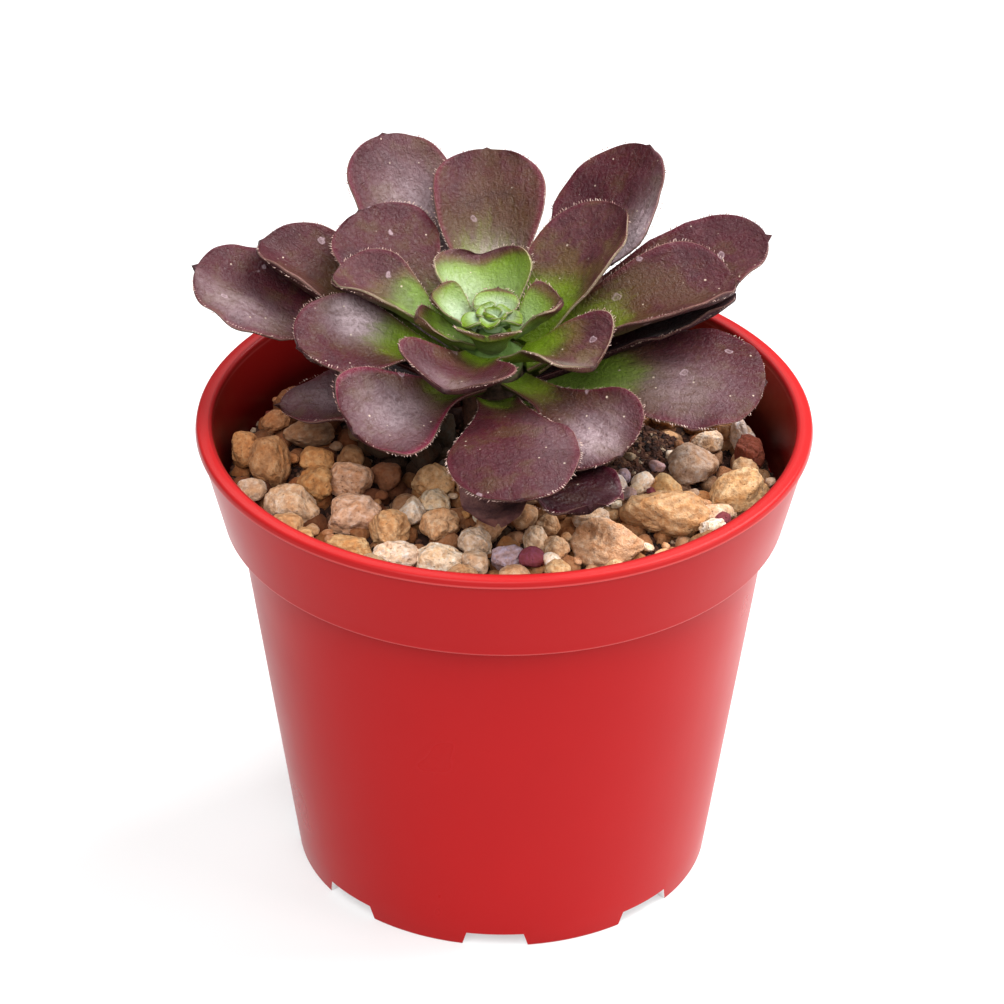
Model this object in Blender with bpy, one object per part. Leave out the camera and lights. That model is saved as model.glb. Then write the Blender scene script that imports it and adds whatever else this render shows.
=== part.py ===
# Purple aeonium rosette in a red plastic nursery pot, with gravel on the potting mix.
# Metres, +Z up. The pot stands on z = 0 with its axis on the Z axis; the front is towards -Y.

import math
import random

import bmesh
import bpy
import numpy as np
from mathutils import Matrix, Vector

for old in list(bpy.data.objects):
    bpy.data.objects.remove(old, do_unlink=True)

GAP = 0.0003  # clearance between two pieces that touch


# Helpers

def material(name, colour, roughness, metallic=0.0):
    mat = bpy.data.materials.new(name)
    mat.use_nodes = True
    shader = mat.node_tree.nodes["Principled BSDF"]
    shader.inputs["Base Color"].default_value = (*colour, 1.0)
    shader.inputs["Roughness"].default_value = roughness
    shader.inputs["Metallic"].default_value = metallic
    mat.diffuse_color = (*colour, 1.0)
    return mat


def add_object(name, bm, mat, smooth=True):
    bmesh.ops.recalc_face_normals(bm, faces=bm.faces[:])
    mesh = bpy.data.meshes.new(name)
    bm.to_mesh(mesh)
    bm.free()
    mesh.materials.append(mat)
    if smooth:
        mesh.shade_smooth()
    obj = bpy.data.objects.new(name, mesh)
    bpy.context.scene.collection.objects.link(obj)
    return obj


def lathe(profile, segments, centre=(0.0, 0.0)):
    """Turn (radius, height) points about a vertical axis; a radius of 0 becomes one point."""
    bm = bmesh.new()
    rings = []
    for radius, height in profile:
        if radius == 0.0:
            rings.append([bm.verts.new((centre[0], centre[1], height))])
            continue
        ring = []
        for k in range(segments):
            a = 2.0 * math.pi * k / segments
            ring.append(bm.verts.new((centre[0] + radius * math.cos(a),
                                      centre[1] + radius * math.sin(a), height)))
        rings.append(ring)
    for lower, upper in zip(rings, rings[1:]):
        for k in range(segments):
            n = (k + 1) % segments
            corners = [lower[k % len(lower)], lower[n % len(lower)],
                       upper[n % len(upper)], upper[k % len(upper)]]
            unique = []
            for corner in corners:
                if corner not in unique:
                    unique.append(corner)
            bm.faces.new(unique)
    return bm


def apply_modifiers(obj):
    graph = bpy.context.evaluated_depsgraph_get()
    result = bpy.data.meshes.new_from_object(obj.evaluated_get(graph), depsgraph=graph)
    obj.modifiers.clear()
    obj.data = result


def fuse(base, pieces, group_name):
    """Union a collection of closed pieces onto the base, then remove them."""
    group = bpy.data.collections.new(group_name)
    for piece in pieces:
        group.objects.link(piece)
        for other in list(piece.users_collection):
            if other is not group:
                other.objects.unlink(piece)
    bpy.context.scene.collection.children.link(group)
    union = base.modifiers.new("union", "BOOLEAN")
    union.operation = "UNION"
    union.operand_type = "COLLECTION"
    union.collection = group
    union.solver = "EXACT"
    union.use_self = True
    apply_modifiers(base)
    for piece in list(group.objects):
        bpy.data.objects.remove(piece, do_unlink=True)
    bpy.data.collections.remove(group)
    drop_pockets(base)


def drop_pockets(obj):
    """Keep the outer skin only: a pocket closed in between fused pieces becomes solid."""
    bm = bmesh.new()
    bm.from_mesh(obj.data)
    left = set(bm.verts)
    islands = []
    while left:
        start = left.pop()
        island = {start}
        front = [start]
        while front:
            for edge in front.pop().link_edges:
                for vert in edge.verts:
                    if vert in left:
                        left.remove(vert)
                        island.add(vert)
                        front.append(vert)
        islands.append(island)
    islands.sort(key=len)
    for island in islands[:-1]:
        bmesh.ops.delete(bm, geom=list(island), context="VERTS")
    bm.to_mesh(obj.data)
    bm.free()


# Pot: one red moulding, 105 mm over the lip, with a band, a step and a notched foot ring

RIM_R = 0.0525
RIM_TOP = 0.0852
LIP_UNDER = 0.0838
LIP_INNER_R = 0.0496
BAND_TOP_R = 0.0519
BAND_FOOT_R = 0.0482
BAND_FOOT_Z = 0.0679
STEP_R = 0.0455
FOOT_R = 0.0361
FOOT_INNER_R = 0.0339
BASE_UNDER = 0.0034
BASE_TOP = 0.0050
WALL = 0.0013
BAND_INNER_FOOT_R = 0.0469
BAND_INNER_FOOT_Z = 0.0691
POT_SEGMENTS = 56

pot_red = material("pot_red_plastic", (0.62, 0.02, 0.018), 0.34)

outer = [
    (0.0, BASE_UNDER),
    (FOOT_INNER_R - 0.0004, BASE_UNDER),
    (FOOT_INNER_R, BASE_UNDER - 0.0004),
    (FOOT_INNER_R + 0.0002, 0.0),
    (FOOT_R - 0.0002, 0.0),
    (FOOT_R, 0.0003),
    (STEP_R - 0.0001, BAND_FOOT_Z - 0.0006),
    (STEP_R + 0.0004, BAND_FOOT_Z),
    (BAND_FOOT_R - 0.0005, BAND_FOOT_Z),
    (BAND_FOOT_R, BAND_FOOT_Z + 0.0005),
    (BAND_TOP_R, LIP_UNDER - 0.0010),
    (BAND_TOP_R + 0.0001, LIP_UNDER - 0.0003),
    (RIM_R - 0.0002, LIP_UNDER),
    (RIM_R, LIP_UNDER + 0.0004),
    (RIM_R - 0.0003, RIM_TOP - 0.0004),
    (RIM_R - 0.0010, RIM_TOP),
    (LIP_INNER_R + 0.0011, RIM_TOP),
    (LIP_INNER_R + 0.0003, RIM_TOP - 0.0004),
    (LIP_INNER_R, RIM_TOP - 0.0012),
    (BAND_INNER_FOOT_R, BAND_INNER_FOOT_Z + 0.0004),
    (BAND_INNER_FOOT_R - 0.0005, BAND_INNER_FOOT_Z),
    (STEP_R - WALL + 0.0003, BAND_INNER_FOOT_Z),
    (STEP_R - WALL - 0.0002, BAND_INNER_FOOT_Z - 0.0006),
    (FOOT_R - WALL + 0.0006, BASE_TOP + 0.0006),
    (FOOT_R - WALL - 0.0002, BASE_TOP),
    (0.0, BASE_TOP),
]
pot = add_object("pot", lathe(outer, POT_SEGMENTS), pot_red)

# Eight trapezoid notches through the foot ring, and a drainage hole behind each of them
NOTCHES = 8
NOTCH_TURN = -91.7
NOTCH_HEIGHT = 0.0027
NOTCH_TOP_WIDTH = 0.0099
NOTCH_FOOT_WIDTH = 0.0117
DRAIN_R = 0.0030
DRAIN_RING_R = 0.0255

cut_bm = bmesh.new()
for k in range(NOTCHES):
    turn = Matrix.Rotation(math.radians(NOTCH_TURN + 360.0 * k / NOTCHES), 4, "Z")
    corners = []
    for across, up in ((-NOTCH_FOOT_WIDTH / 2, -0.0006), (NOTCH_FOOT_WIDTH / 2, -0.0006),
                       (NOTCH_TOP_WIDTH / 2, NOTCH_HEIGHT), (-NOTCH_TOP_WIDTH / 2, NOTCH_HEIGHT)):
        for along in (FOOT_INNER_R - 0.0030, FOOT_R + 0.0030):
            corners.append(cut_bm.verts.new(turn @ Vector((along, across, up))))
    inner = corners[0::2]
    outer_end = corners[1::2]
    cut_bm.faces.new(inner)
    cut_bm.faces.new(outer_end)
    for i in range(4):
        j = (i + 1) % 4
        cut_bm.faces.new((inner[i], inner[j], outer_end[j], outer_end[i]))
    bmesh.ops.create_cone(cut_bm, cap_ends=True, segments=14, radius1=DRAIN_R, radius2=DRAIN_R,
                          depth=0.0060, matrix=turn @ Matrix.Translation((DRAIN_RING_R, 0, 0.0042)))
cutter = add_object("foot_cutter", cut_bm, pot_red, smooth=False)
cutter.hide_render = True
cutter.display_type = "WIRE"
notch = pot.modifiers.new("foot_notches", "BOOLEAN")
notch.operation = "DIFFERENCE"
notch.object = cutter
notch.solver = "EXACT"


# Stem: a short thick brown column that stands in a plain hole in the potting mix

STEM_X = -0.002
STEM_Y = 0.002
STEM_FOOT = 0.0574
STEM_TOP = 0.1007
STEM_HOLE_R = 0.0052

bark = material("stem_bark", (0.16, 0.09, 0.055), 0.75)
stem_profile = [(0.0, STEM_FOOT), (0.0040, STEM_FOOT), (0.0047, STEM_FOOT + 0.0010)]
for k in range(4):
    # old leaf scars make low rings below the leaves
    ring_z = 0.0700 + 0.0030 * k
    stem_profile += [(0.0047, ring_z), (0.0049, ring_z + 0.0010), (0.0047, ring_z + 0.0020)]
stem_profile += [(0.0052, 0.0848), (0.0052, 0.0964), (0.0032, 0.0971), (0.0029, 0.0989),
                 (0.0022, STEM_TOP - 0.0003), (0.0017, STEM_TOP), (0.0, STEM_TOP)]
stem = add_object("stem", lathe(stem_profile, 20, (STEM_X, STEM_Y)), bark)


# Potting mix: a tapering plug that fills the pot up to the step, with a hole for the stem

MIX_TOP = 0.0688
MIX_HOLE_FLOOR = STEM_FOOT - GAP

mix_dark = material("potting_mix", (0.045, 0.028, 0.018), 0.95)
MIX_SEGMENTS = 60


def ring_points(radius, segments, centre=(0.0, 0.0)):
    points = []
    for k in range(segments):
        a = 2.0 * math.pi * k / segments
        points.append((centre[0] + radius * math.cos(a), centre[1] + radius * math.sin(a)))
    return points


def plug(name, mat, outside, bottom, top, hole, hole_bottom, segments):
    """A round plug about the pot's axis with a hole about the stem's axis.

    outside: (radius, height) from bottom to top; top: function of x, y;
    hole_bottom: None for a hole that goes right through.
    """
    bm = bmesh.new()
    rings = []
    for radius, height in outside:
        level = []
        for x, y in ring_points(radius, segments):
            z = height if height is not None else top(x, y)
            level.append(bm.verts.new((x, y, z)))
        rings.append(level)
    stem_axis = (STEM_X, STEM_Y)
    hole_top = []
    hole_low = []
    low = bottom if hole_bottom is None else hole_bottom
    for x, y in ring_points(hole, segments, stem_axis):
        hole_top.append(bm.verts.new((x, y, top(x, y))))
        hole_low.append(bm.verts.new((x, y, low)))
    for lower, upper in zip(rings, rings[1:]):
        for k in range(segments):
            n = (k + 1) % segments
            bm.faces.new((lower[k], lower[n], upper[n], upper[k]))
    for k in range(segments):
        n = (k + 1) % segments
        bm.faces.new((rings[-1][k], rings[-1][n], hole_top[n], hole_top[k]))
        bm.faces.new((hole_top[k], hole_top[n], hole_low[n], hole_low[k]))
        if hole_bottom is None:
            bm.faces.new((hole_low[k], hole_low[n], rings[0][n], rings[0][k]))
    if hole_bottom is not None:
        bm.faces.new(hole_low)
        bm.faces.new(rings[0])
    return add_object(name, bm, mat)


plug("potting_mix", mix_dark,
     [(FOOT_R - WALL - 0.0006, BASE_TOP + GAP), (FOOT_R - WALL - 0.0001, BASE_TOP + 0.0011),
      (STEP_R - WALL - 0.0006, MIX_TOP - 0.0014), (STEP_R - WALL - 0.0007, MIX_TOP)],
     BASE_TOP + GAP, lambda x, y: MIX_TOP, STEM_HOLE_R, MIX_HOLE_FLOOR, MIX_SEGMENTS)


# Gravel: a bed that slopes up to the front left, with the stones sunk half into it

GRAVEL_FOOT = MIX_TOP + 0.0006
GRAVEL_LEVEL = 0.0742
SLOPE_X = -0.0330
SLOPE_Y = -0.0440
GRAVEL_R = 0.0462


def gravel_level(x, y):
    return GRAVEL_LEVEL + SLOPE_X * x + SLOPE_Y * y


def wall_radius(z):
    """Inside radius of the pot's band at height z."""
    rise = (z - BAND_INNER_FOOT_Z) / (RIM_TOP - 0.0012 - BAND_INNER_FOOT_Z)
    return BAND_INNER_FOOT_R + rise * (LIP_INNER_R - BAND_INNER_FOOT_R)


stone_tan = material("gravel_stones", (0.52, 0.36, 0.22), 0.85)
gravel = plug("gravel", stone_tan,
              [(GRAVEL_R, GRAVEL_FOOT), (GRAVEL_R + 0.0004, None)],
              GRAVEL_FOOT, gravel_level, STEM_HOLE_R + 0.0004, None, 48)

# The stones that stand out, placed by hand: x, y, half length, half width, half height, turn
CHOSEN_STONES = [
    (0.0270, -0.0150, 0.0077, 0.0050, 0.0044, 4),
    (0.0173, -0.0256, 0.0062, 0.0050, 0.0044, 0),
    (0.0400, -0.0055, 0.0050, 0.0048, 0.0044, 10),
    (0.0320, 0.0025, 0.0046, 0.0044, 0.0038, -20),
    (0.0425, 0.0082, 0.0024, 0.0036, 0.0030, 20),
    (0.0445, 0.0150, 0.0022, 0.0038, 0.0034, 20),
    (0.0009, -0.0311, 0.0030, 0.0024, 0.0024, 0),
    (-0.0106, -0.0320, 0.0043, 0.0030, 0.0028, 5),
    (-0.0251, -0.0172, 0.0046, 0.0036, 0.0032, 12),
    (-0.0262, -0.0058, 0.0040, 0.0034, 0.0032, -20),
    (-0.0400, -0.0006, 0.0038, 0.0046, 0.0043, 10),
    (-0.0338, 0.0105, 0.0045, 0.0032, 0.0027, 8),
    (-0.0358, -0.0155, 0.0050, 0.0040, 0.0036, -28),
    (-0.0455, 0.0030, 0.0026, 0.0036, 0.0032, 0),
    (-0.0318, -0.0078, 0.0036, 0.0036, 0.0034, -30),
    (-0.0120, -0.0050, 0.0038, 0.0034, 0.0030, 0),
    (-0.0118, -0.0128, 0.0028, 0.0026, 0.0024, 20),
    (-0.0048, -0.0258, 0.0029, 0.0028, 0.0027, 0),
    (-0.0190, -0.0220, 0.0037, 0.0038, 0.0033, 40),
    (-0.0108, -0.0202, 0.0034, 0.0032, 0.0027, 0),
    (-0.0255, -0.0290, 0.0040, 0.0028, 0.0024, -15),
    (-0.0180, -0.0310, 0.0038, 0.0026, 0.0023, 10),
    (0.0053, -0.0250, 0.0020, 0.0030, 0.0026, 10),
    (0.0088, -0.0278, 0.0023, 0.0026, 0.0023, 0),
    (0.0074, -0.0190, 0.0022, 0.0020, 0.0018, 0),
    (0.0352, -0.0190, 0.0026, 0.0024, 0.0022, 30),
    (-0.0395, 0.0145, 0.0028, 0.0024, 0.0020, 40),
]
STALK_X = 0.0205  # the dry stalk stands between the stones here
STALK_Y = 0.0120
STONE_SEED = 11
STONE_TRIES = 1500
STONE_MIN = 0.0026
STONE_MAX = 0.0046
STONE_PACK = 0.88


def keep_off_wall(x, y, long_r, wide_r, high_r, turn):
    """Draw a stone inwards where it would touch the pot's wall."""
    reach = math.hypot(x, y)
    angle = math.atan2(y, x) - math.radians(turn)
    radial = math.hypot(long_r * math.cos(angle), wide_r * math.sin(angle))
    limit = wall_radius(gravel_level(x, y) - 0.6 * high_r) - 0.0006 - 1.12 * radial
    if reach > limit:
        x *= limit / reach
        y *= limit / reach
    return x, y


def stone(x, y, long_r, wide_r, high_r, turn, rng, detail):
    """A rounded, slightly lumpy stone that is sunk to a little under its middle."""
    bm = bmesh.new()
    bmesh.ops.create_icosphere(bm, subdivisions=detail, radius=1.0)
    lean = Matrix.Rotation(rng.uniform(-0.25, 0.25), 3, "X")
    spin = Matrix.Rotation(math.radians(turn), 3, "Z")
    waves = [(Vector((rng.uniform(-1, 1), rng.uniform(-1, 1), rng.uniform(-1, 1))),
              rng.uniform(0, 6.28)) for _ in range(3)]
    centre = Vector((x, y, gravel_level(x, y) + 0.04 * high_r))
    for vert in bm.verts:
        p = vert.co.copy()
        lump = 1.0
        for direction, phase in waves:
            lump += 0.05 * math.sin(2.6 * p.dot(direction) + phase)
        p = Vector((p.x * long_r, p.y * wide_r, p.z * high_r)) * lump
        vert.co = centre + spin @ (lean @ p)
        vert.co.z = max(vert.co.z, GRAVEL_FOOT + 0.0004)
    return add_object("stone", bm, stone_tan)


rng = random.Random(STONE_SEED)
placed = []
for x, y, long_r, wide_r, high_r, turn in CHOSEN_STONES:
    x, y = keep_off_wall(x, y, long_r, wide_r, high_r, turn)
    placed.append((x, y, long_r, wide_r, high_r, turn, 2))
for _ in range(STONE_TRIES):
    angle = rng.uniform(0.0, 2.0 * math.pi)
    reach = math.sqrt(rng.uniform(0.03, 1.0)) * 0.0475
    x = reach * math.cos(angle)
    y = reach * math.sin(angle)
    size = STONE_MIN + (STONE_MAX - STONE_MIN) * rng.random() ** 1.6
    x, y = keep_off_wall(x, y, size * 1.15, size * 1.15, size, 0.0)
    if math.hypot(x - STEM_X, y - STEM_Y) < size * 1.1 + STEM_HOLE_R + 0.0006:
        continue
    if math.hypot(x - STALK_X, y - STALK_Y) < size * 1.2 + 0.0014:
        continue
    clear = True
    for other in placed:
        reach_other = 0.5 * (other[2] + other[3])
        if math.hypot(x - other[0], y - other[1]) < STONE_PACK * (size + reach_other):
            clear = False
            break
    if clear:
        placed.append((x, y, size * rng.uniform(1.0, 1.15), size * rng.uniform(0.8, 1.0),
                       size * rng.uniform(0.7, 0.95), rng.uniform(0, 180),
                       1 if size < 0.0039 else 2))
stones = [stone(*item[:6], rng, item[6]) for item in placed]
fuse(gravel, stones, "stones")
gravel.data.materials.clear()
gravel.data.materials.append(stone_tan)


# Leaves: fleshy spoon-shaped blades, thick in the middle and thin at the margin

purple = material("leaf_purple", (0.075, 0.022, 0.032), 0.38)
under_purple = material("leaf_purple_dark", (0.045, 0.016, 0.026), 0.45)
green = material("leaf_green", (0.20, 0.30, 0.05), 0.42)
withered = material("leaf_withered", (0.30, 0.15, 0.11), 0.85)
EDGE_THICKNESS = 0.0007


def smooth_step(t):
    t = np.clip(t, 0.0, 1.0)
    return t * t * (3.0 - 2.0 * t)


def leaf_stations(stalk_rows, end_rows, shoulder):
    """Places along the midrib, 0 at the stem and 1 at the tip, close together at the tip."""
    stalk = np.linspace(0.0, shoulder, stalk_rows + 1)[:-1]
    end = np.linspace(0.0, math.pi / 2, end_rows + 1)
    return np.concatenate([stalk, shoulder + (1.0 - shoulder) * np.sin(end)])


def leaf_half_width(s, width, shoulder, waist, swell, square):
    body = waist + (1.0 - waist) * smooth_step(s / shoulder) ** swell
    past = np.clip((s - shoulder) / (1.0 - shoulder), 0.0, 1.0)
    end = np.sqrt(np.clip(1.0 - past ** square, 0.0, 1.0))
    return width / 2.0 * np.where(s < shoulder, body, end)


def leaf(name, mat, turn, reach, tip_z, width, root_z, lift, fold=(30, 25, 15), roll=0.0,
         sway=0.0, waist=0.27, shoulder=0.76, swell=2.8, square=2.3, root_r=0.0055,
         mucro=0.0010, crease=6.0, thick=(0.0015, 0.0010), stalk_rows=5, end_rows=4, half=2):
    """A blade from the stem to its tip.

    turn: compass angle of the tip about the stem, 0 is right and 90 is the back.
    reach, tip_z: the tip's distance from the stem's axis and its height.
    root_r, root_z: the same for the root; lift: rise of the midrib at the root in degrees.
    fold: how far each half turns up at root, middle and tip; crease: sharpness of the midrib.
    """
    a = math.radians(turn)
    out = np.array([math.cos(a), math.sin(a), 0.0])
    across = np.array([-math.sin(a), math.cos(a), 0.0])
    up = np.array([0.0, 0.0, 1.0])
    axis = np.array([STEM_X, STEM_Y, 0.0])
    start = axis + out * root_r + up * root_z
    end = axis + out * reach + up * tip_z
    run = (reach - root_r) * 0.5
    bend = start + out * run + up * run * math.tan(math.radians(lift)) + across * sway

    s = leaf_stations(stalk_rows, end_rows, shoulder)
    rows = len(s)
    t = s[:, None]
    rib = (1 - t) ** 2 * start + 2 * t * (1 - t) * bend + t ** 2 * end
    along = 2 * (1 - t) * (bend - start) + 2 * t * (end - bend)
    along /= np.linalg.norm(along, axis=1)[:, None]
    flat = along * np.array([1.0, 1.0, 0.0])
    flat /= np.linalg.norm(flat, axis=1)[:, None]
    side = np.stack([flat[:, 1], -flat[:, 0], np.zeros(rows)], axis=1)
    top = np.cross(side, along)
    tilt = np.radians(roll * smooth_step(s * 1.6))[:, None]
    side, top = side * np.cos(tilt) + top * np.sin(tilt), top * np.cos(tilt) - side * np.sin(tilt)

    half_width = leaf_half_width(s, width, shoulder, waist, swell, square)
    bow = np.radians(np.interp(s, [0.0, 0.5, 1.0], fold))
    bow = np.where(np.abs(bow) < 0.001, 0.001, bow)
    ridge = math.radians(crease) * smooth_step(s / 0.4) * smooth_step((1.25 - s) / 0.5)
    core = thick[0] + (thick[1] - thick[0]) * s

    columns = 2 * half + 1
    u = np.linspace(-1.0, 1.0, columns)
    bm = bmesh.new()
    upper = []
    lower = []
    for i in range(rows):
        if i == rows - 1:
            tip = rib[i] + along[i] * mucro
            upper.append([bm.verts.new(tip)] * columns)
            lower.append([bm.verts.new(tip - top[i] * EDGE_THICKNESS)] * columns)
            continue
        row_up = []
        row_low = []
        for j in range(columns):
            angle = ridge[i] + bow[i] * abs(u[j])
            sign = np.sign(u[j])
            x = half_width[i] * (math.sin(angle) - math.sin(ridge[i])) / bow[i] * sign
            z = half_width[i] * (math.cos(ridge[i]) - math.cos(angle)) / bow[i]
            place = rib[i] + side[i] * x + top[i] * z
            normal = top[i] * math.cos(angle) - side[i] * math.sin(angle) * sign
            depth = EDGE_THICKNESS + (core[i] - EDGE_THICKNESS) * (1.0 - u[j] ** 2)
            row_up.append(bm.verts.new(place))
            row_low.append(bm.verts.new(place - normal * depth))
        upper.append(row_up)
        lower.append(row_low)

    def face(*corners):
        unique = []
        for corner in corners:
            if corner not in unique:
                unique.append(corner)
        if len(unique) > 2:
            bm.faces.new(unique)

    for i in range(rows - 1):
        for j in range(columns - 1):
            for grid in (upper, lower):
                p, q = grid[i][j], grid[i][j + 1]
                r, w = grid[i + 1][j + 1], grid[i + 1][j]
                if j < half:
                    face(p, q, w)
                    face(q, r, w)
                else:
                    face(p, q, r)
                    face(p, r, w)
        for j in (0, columns - 1):
            p, q = upper[i][j], upper[i + 1][j]
            r, w = lower[i + 1][j], lower[i][j]
            face(p, q, r)
            face(p, r, w)
    for j in range(columns - 1):
        face(upper[0][j], upper[0][j + 1], lower[0][j + 1], lower[0][j])
    return add_object(name, bm, mat)


# Lowest leaves; those on the far side lie hidden behind the others
leaf("leaf_low_back_right", under_purple, 57, 0.0390, 0.0868, 0.0170, 0.0839, 2, fold=(30, 14, 4))
leaf("leaf_low_back", under_purple, 88, 0.0385, 0.0885, 0.0170, 0.0857, 4, fold=(30, 16, 6))
leaf("leaf_low_back_left", under_purple, 118, 0.0390, 0.0870, 0.0170, 0.0839, 5,
     fold=(30, 16, 6))
leaf("leaf_low_far_left", under_purple, 147, 0.0370, 0.0880, 0.0170, 0.0857, 3, fold=(30, 14, 4))
leaf("leaf_under_front", under_purple, -67, 0.0415, 0.0888, 0.0170, 0.0880, -8,
     fold=(30, 10, 0))
leaf("leaf_low_left", purple, 180, 0.0362, 0.0858, 0.0135, 0.0875, -4,
     fold=(30, 30, 15), roll=10, waist=0.36, square=2.8)

# Outer ring, spread wide
leaf("leaf_low_right", purple, -6, 0.0462, 0.0938, 0.0234, 0.0882, 15,
     fold=(30, -4, -12), roll=-14, waist=0.25, crease=2)
leaf("leaf_back_right", purple, 52, 0.0425, 0.1185, 0.0215, 0.0885, 24,
     fold=(30, 15, 5), waist=0.24, swell=3.2, square=2.6)
leaf("leaf_under_right", under_purple, 12, 0.0418, 0.1017, 0.0150, 0.0906, 13,
     fold=(30, 25, 20), roll=6, waist=0.25, crease=5)
leaf("leaf_back_left", purple, 117, 0.0425, 0.1180, 0.0204, 0.0902, 24,
     fold=(30, 15, 5), waist=0.25, square=2.9)
leaf("leaf_far_left", purple, 168, 0.0516, 0.1066, 0.0212, 0.0894, 22,
     fold=(30, 8, 3), roll=9, waist=0.22, crease=3)
leaf("leaf_front", purple, -84, 0.0455, 0.0952, 0.0222, 0.0902, 27,
     fold=(30, -8, -14), roll=-6, waist=0.32, shoulder=0.68, swell=2.4, square=2.2, crease=2)
leaf("leaf_far_right", purple, 21, 0.0500, 0.1092, 0.0190, 0.0928, 17,
     fold=(30, 10, 8), roll=-12, crease=3)
leaf("leaf_back_middle", purple, 92, 0.0365, 0.1160, 0.0200, 0.0924, 34,
     fold=(30, 30, 15), waist=0.30, shoulder=0.76, swell=2.4, square=2.6)
leaf("leaf_upper_left", purple, 157, 0.0430, 0.1086, 0.0200, 0.0921, 17,
     fold=(30, 32, 25), waist=0.25, crease=12)
leaf("leaf_front_left", purple, -131, 0.0345, 0.0962, 0.0196, 0.0922, 16,
     fold=(30, 22, 15), roll=26, waist=0.34, shoulder=0.80, swell=1.8, square=2.8, crease=5)
leaf("leaf_front_right", purple, -49, 0.0325, 0.0912, 0.0186, 0.0932, 4,
     fold=(30, 16, 10), roll=-20, waist=0.31, crease=8)

# Middle ring
leaf("leaf_upper_right", purple, 8, 0.0412, 0.1071, 0.0218, 0.0949, 22,
     fold=(30, 38, 30), roll=-6, waist=0.25, crease=12)
leaf("leaf_mid_back_left", purple, 135, 0.0325, 0.1110, 0.0206, 0.0951, 27,
     fold=(30, 12, 6), roll=6, waist=0.25, shoulder=0.76, square=2.6, crease=1)
leaf("leaf_mid_left", purple, -164, 0.0335, 0.1026, 0.0178, 0.0945, 28,
     fold=(30, 18, 12), roll=20, sway=-0.0050, waist=0.32, shoulder=0.64, swell=1.8, square=2.2,
     root_r=0.0060)
leaf("leaf_inner_front_right", green, -42, 0.0226, 0.1026, 0.0200, 0.0982, 25,
     fold=(30, 30, 30), roll=-5, waist=0.34, shoulder=0.80, swell=1.4, crease=18, root_r=0.0052)
leaf("leaf_inner_left", green, 166, 0.0278, 0.1074, 0.0176, 0.0974, 33,
     fold=(30, 32, 18), waist=0.32, shoulder=0.70, swell=1.9, crease=13)
leaf("leaf_inner_back_right", green, 36, 0.0275, 0.1150, 0.0200, 0.0972, 30,
     fold=(30, 30, 20), waist=0.46, shoulder=0.66, swell=1.3)
leaf("leaf_inner_front", purple, -110, 0.0226, 0.1016, 0.0225, 0.0982, 15,
     fold=(30, 38, 32), roll=5, waist=0.30, swell=1.5, crease=8, root_r=0.0052)

# Heart
leaf("leaf_heart_back", green, 100, 0.0176, 0.1054, 0.0196, 0.0988, 28,
     fold=(35, 60, 55), waist=0.38, shoulder=0.68, swell=1.2, square=2.4, root_r=0.0038, crease=6)
leaf("leaf_heart_left_outer", green, -163, 0.0132, 0.1054, 0.0096, 0.0990, 20,
     fold=(35, 25, 20), waist=0.38, swell=1.4, root_r=0.0035, crease=8)
leaf("leaf_heart_left_inner", green, 169, 0.0102, 0.1062, 0.0088, 0.1010, 28,
     fold=(35, 30, 25), waist=0.38, swell=1.2, root_r=0.0028, crease=12)
leaf("leaf_heart_right", green, 8, 0.0114, 0.1060, 0.0120, 0.1003, 26,
     fold=(35, 35, 30), waist=0.38, swell=1.2, root_r=0.0032, crease=14)
leaf("leaf_heart_front", green, -98, 0.0085, 0.1050, 0.0115, 0.0994, 30,
     fold=(35, 45, 35), waist=0.36, swell=1.2, root_r=0.0033, crease=8)
leaf("leaf_heart_inner", green, 82, 0.0072, 0.1042, 0.0092, 0.1014, 30,
     fold=(35, 75, 70), waist=0.42, shoulder=0.68, swell=1.2, root_r=0.0025, crease=6,
     thick=(0.0012, 0.0008))

# The withered leaf on the gravel below the front leaf
leaf("leaf_withered", withered, -88, 0.0310, 0.0818, 0.0130, 0.0840, -10,
     fold=(30, 10, -5), waist=0.40, shoulder=0.60, swell=1.5, thick=(0.0010, 0.0009))


# Crown: a small cone at the tip of the stem with the youngest leaves fused round it

CROWN_FOOT = STEM_TOP + GAP
crown_green = material("crown_green", (0.36, 0.50, 0.16), 0.45)
crown = add_object("crown", lathe([
    (0.0, CROWN_FOOT), (0.0016, CROWN_FOOT), (0.0018, CROWN_FOOT + 0.0006),
    (0.0010, CROWN_FOOT + 0.0020), (0.0, CROWN_FOOT + 0.0026)], 12, (STEM_X, STEM_Y)), crown_green)
YOUNG_LEAVES = 7
GOLDEN_TURN = 137.5
young = []
for k in range(YOUNG_LEAVES):
    share = k / (YOUNG_LEAVES - 1)
    young.append(leaf("young_leaf", crown_green, 205 + GOLDEN_TURN * k,
                      0.0042 - 0.0024 * share, CROWN_FOOT + 0.0026 + 0.0008 * share,
                      0.0034 - 0.0014 * share, CROWN_FOOT + 0.0012 + 0.0005 * share, 35 + 25 * share,
                      fold=(35, 40, 30), waist=0.50, shoulder=0.60, swell=1.2, root_r=0.0006,
                      mucro=0.0003, thick=(0.0008, 0.0007), stalk_rows=2, end_rows=2, half=1))
fuse(crown, young, "young_leaves")
crown.data.materials.clear()
crown.data.materials.append(crown_green)


# A thin dry stalk that stands in the gravel between the right-hand leaves

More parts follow.
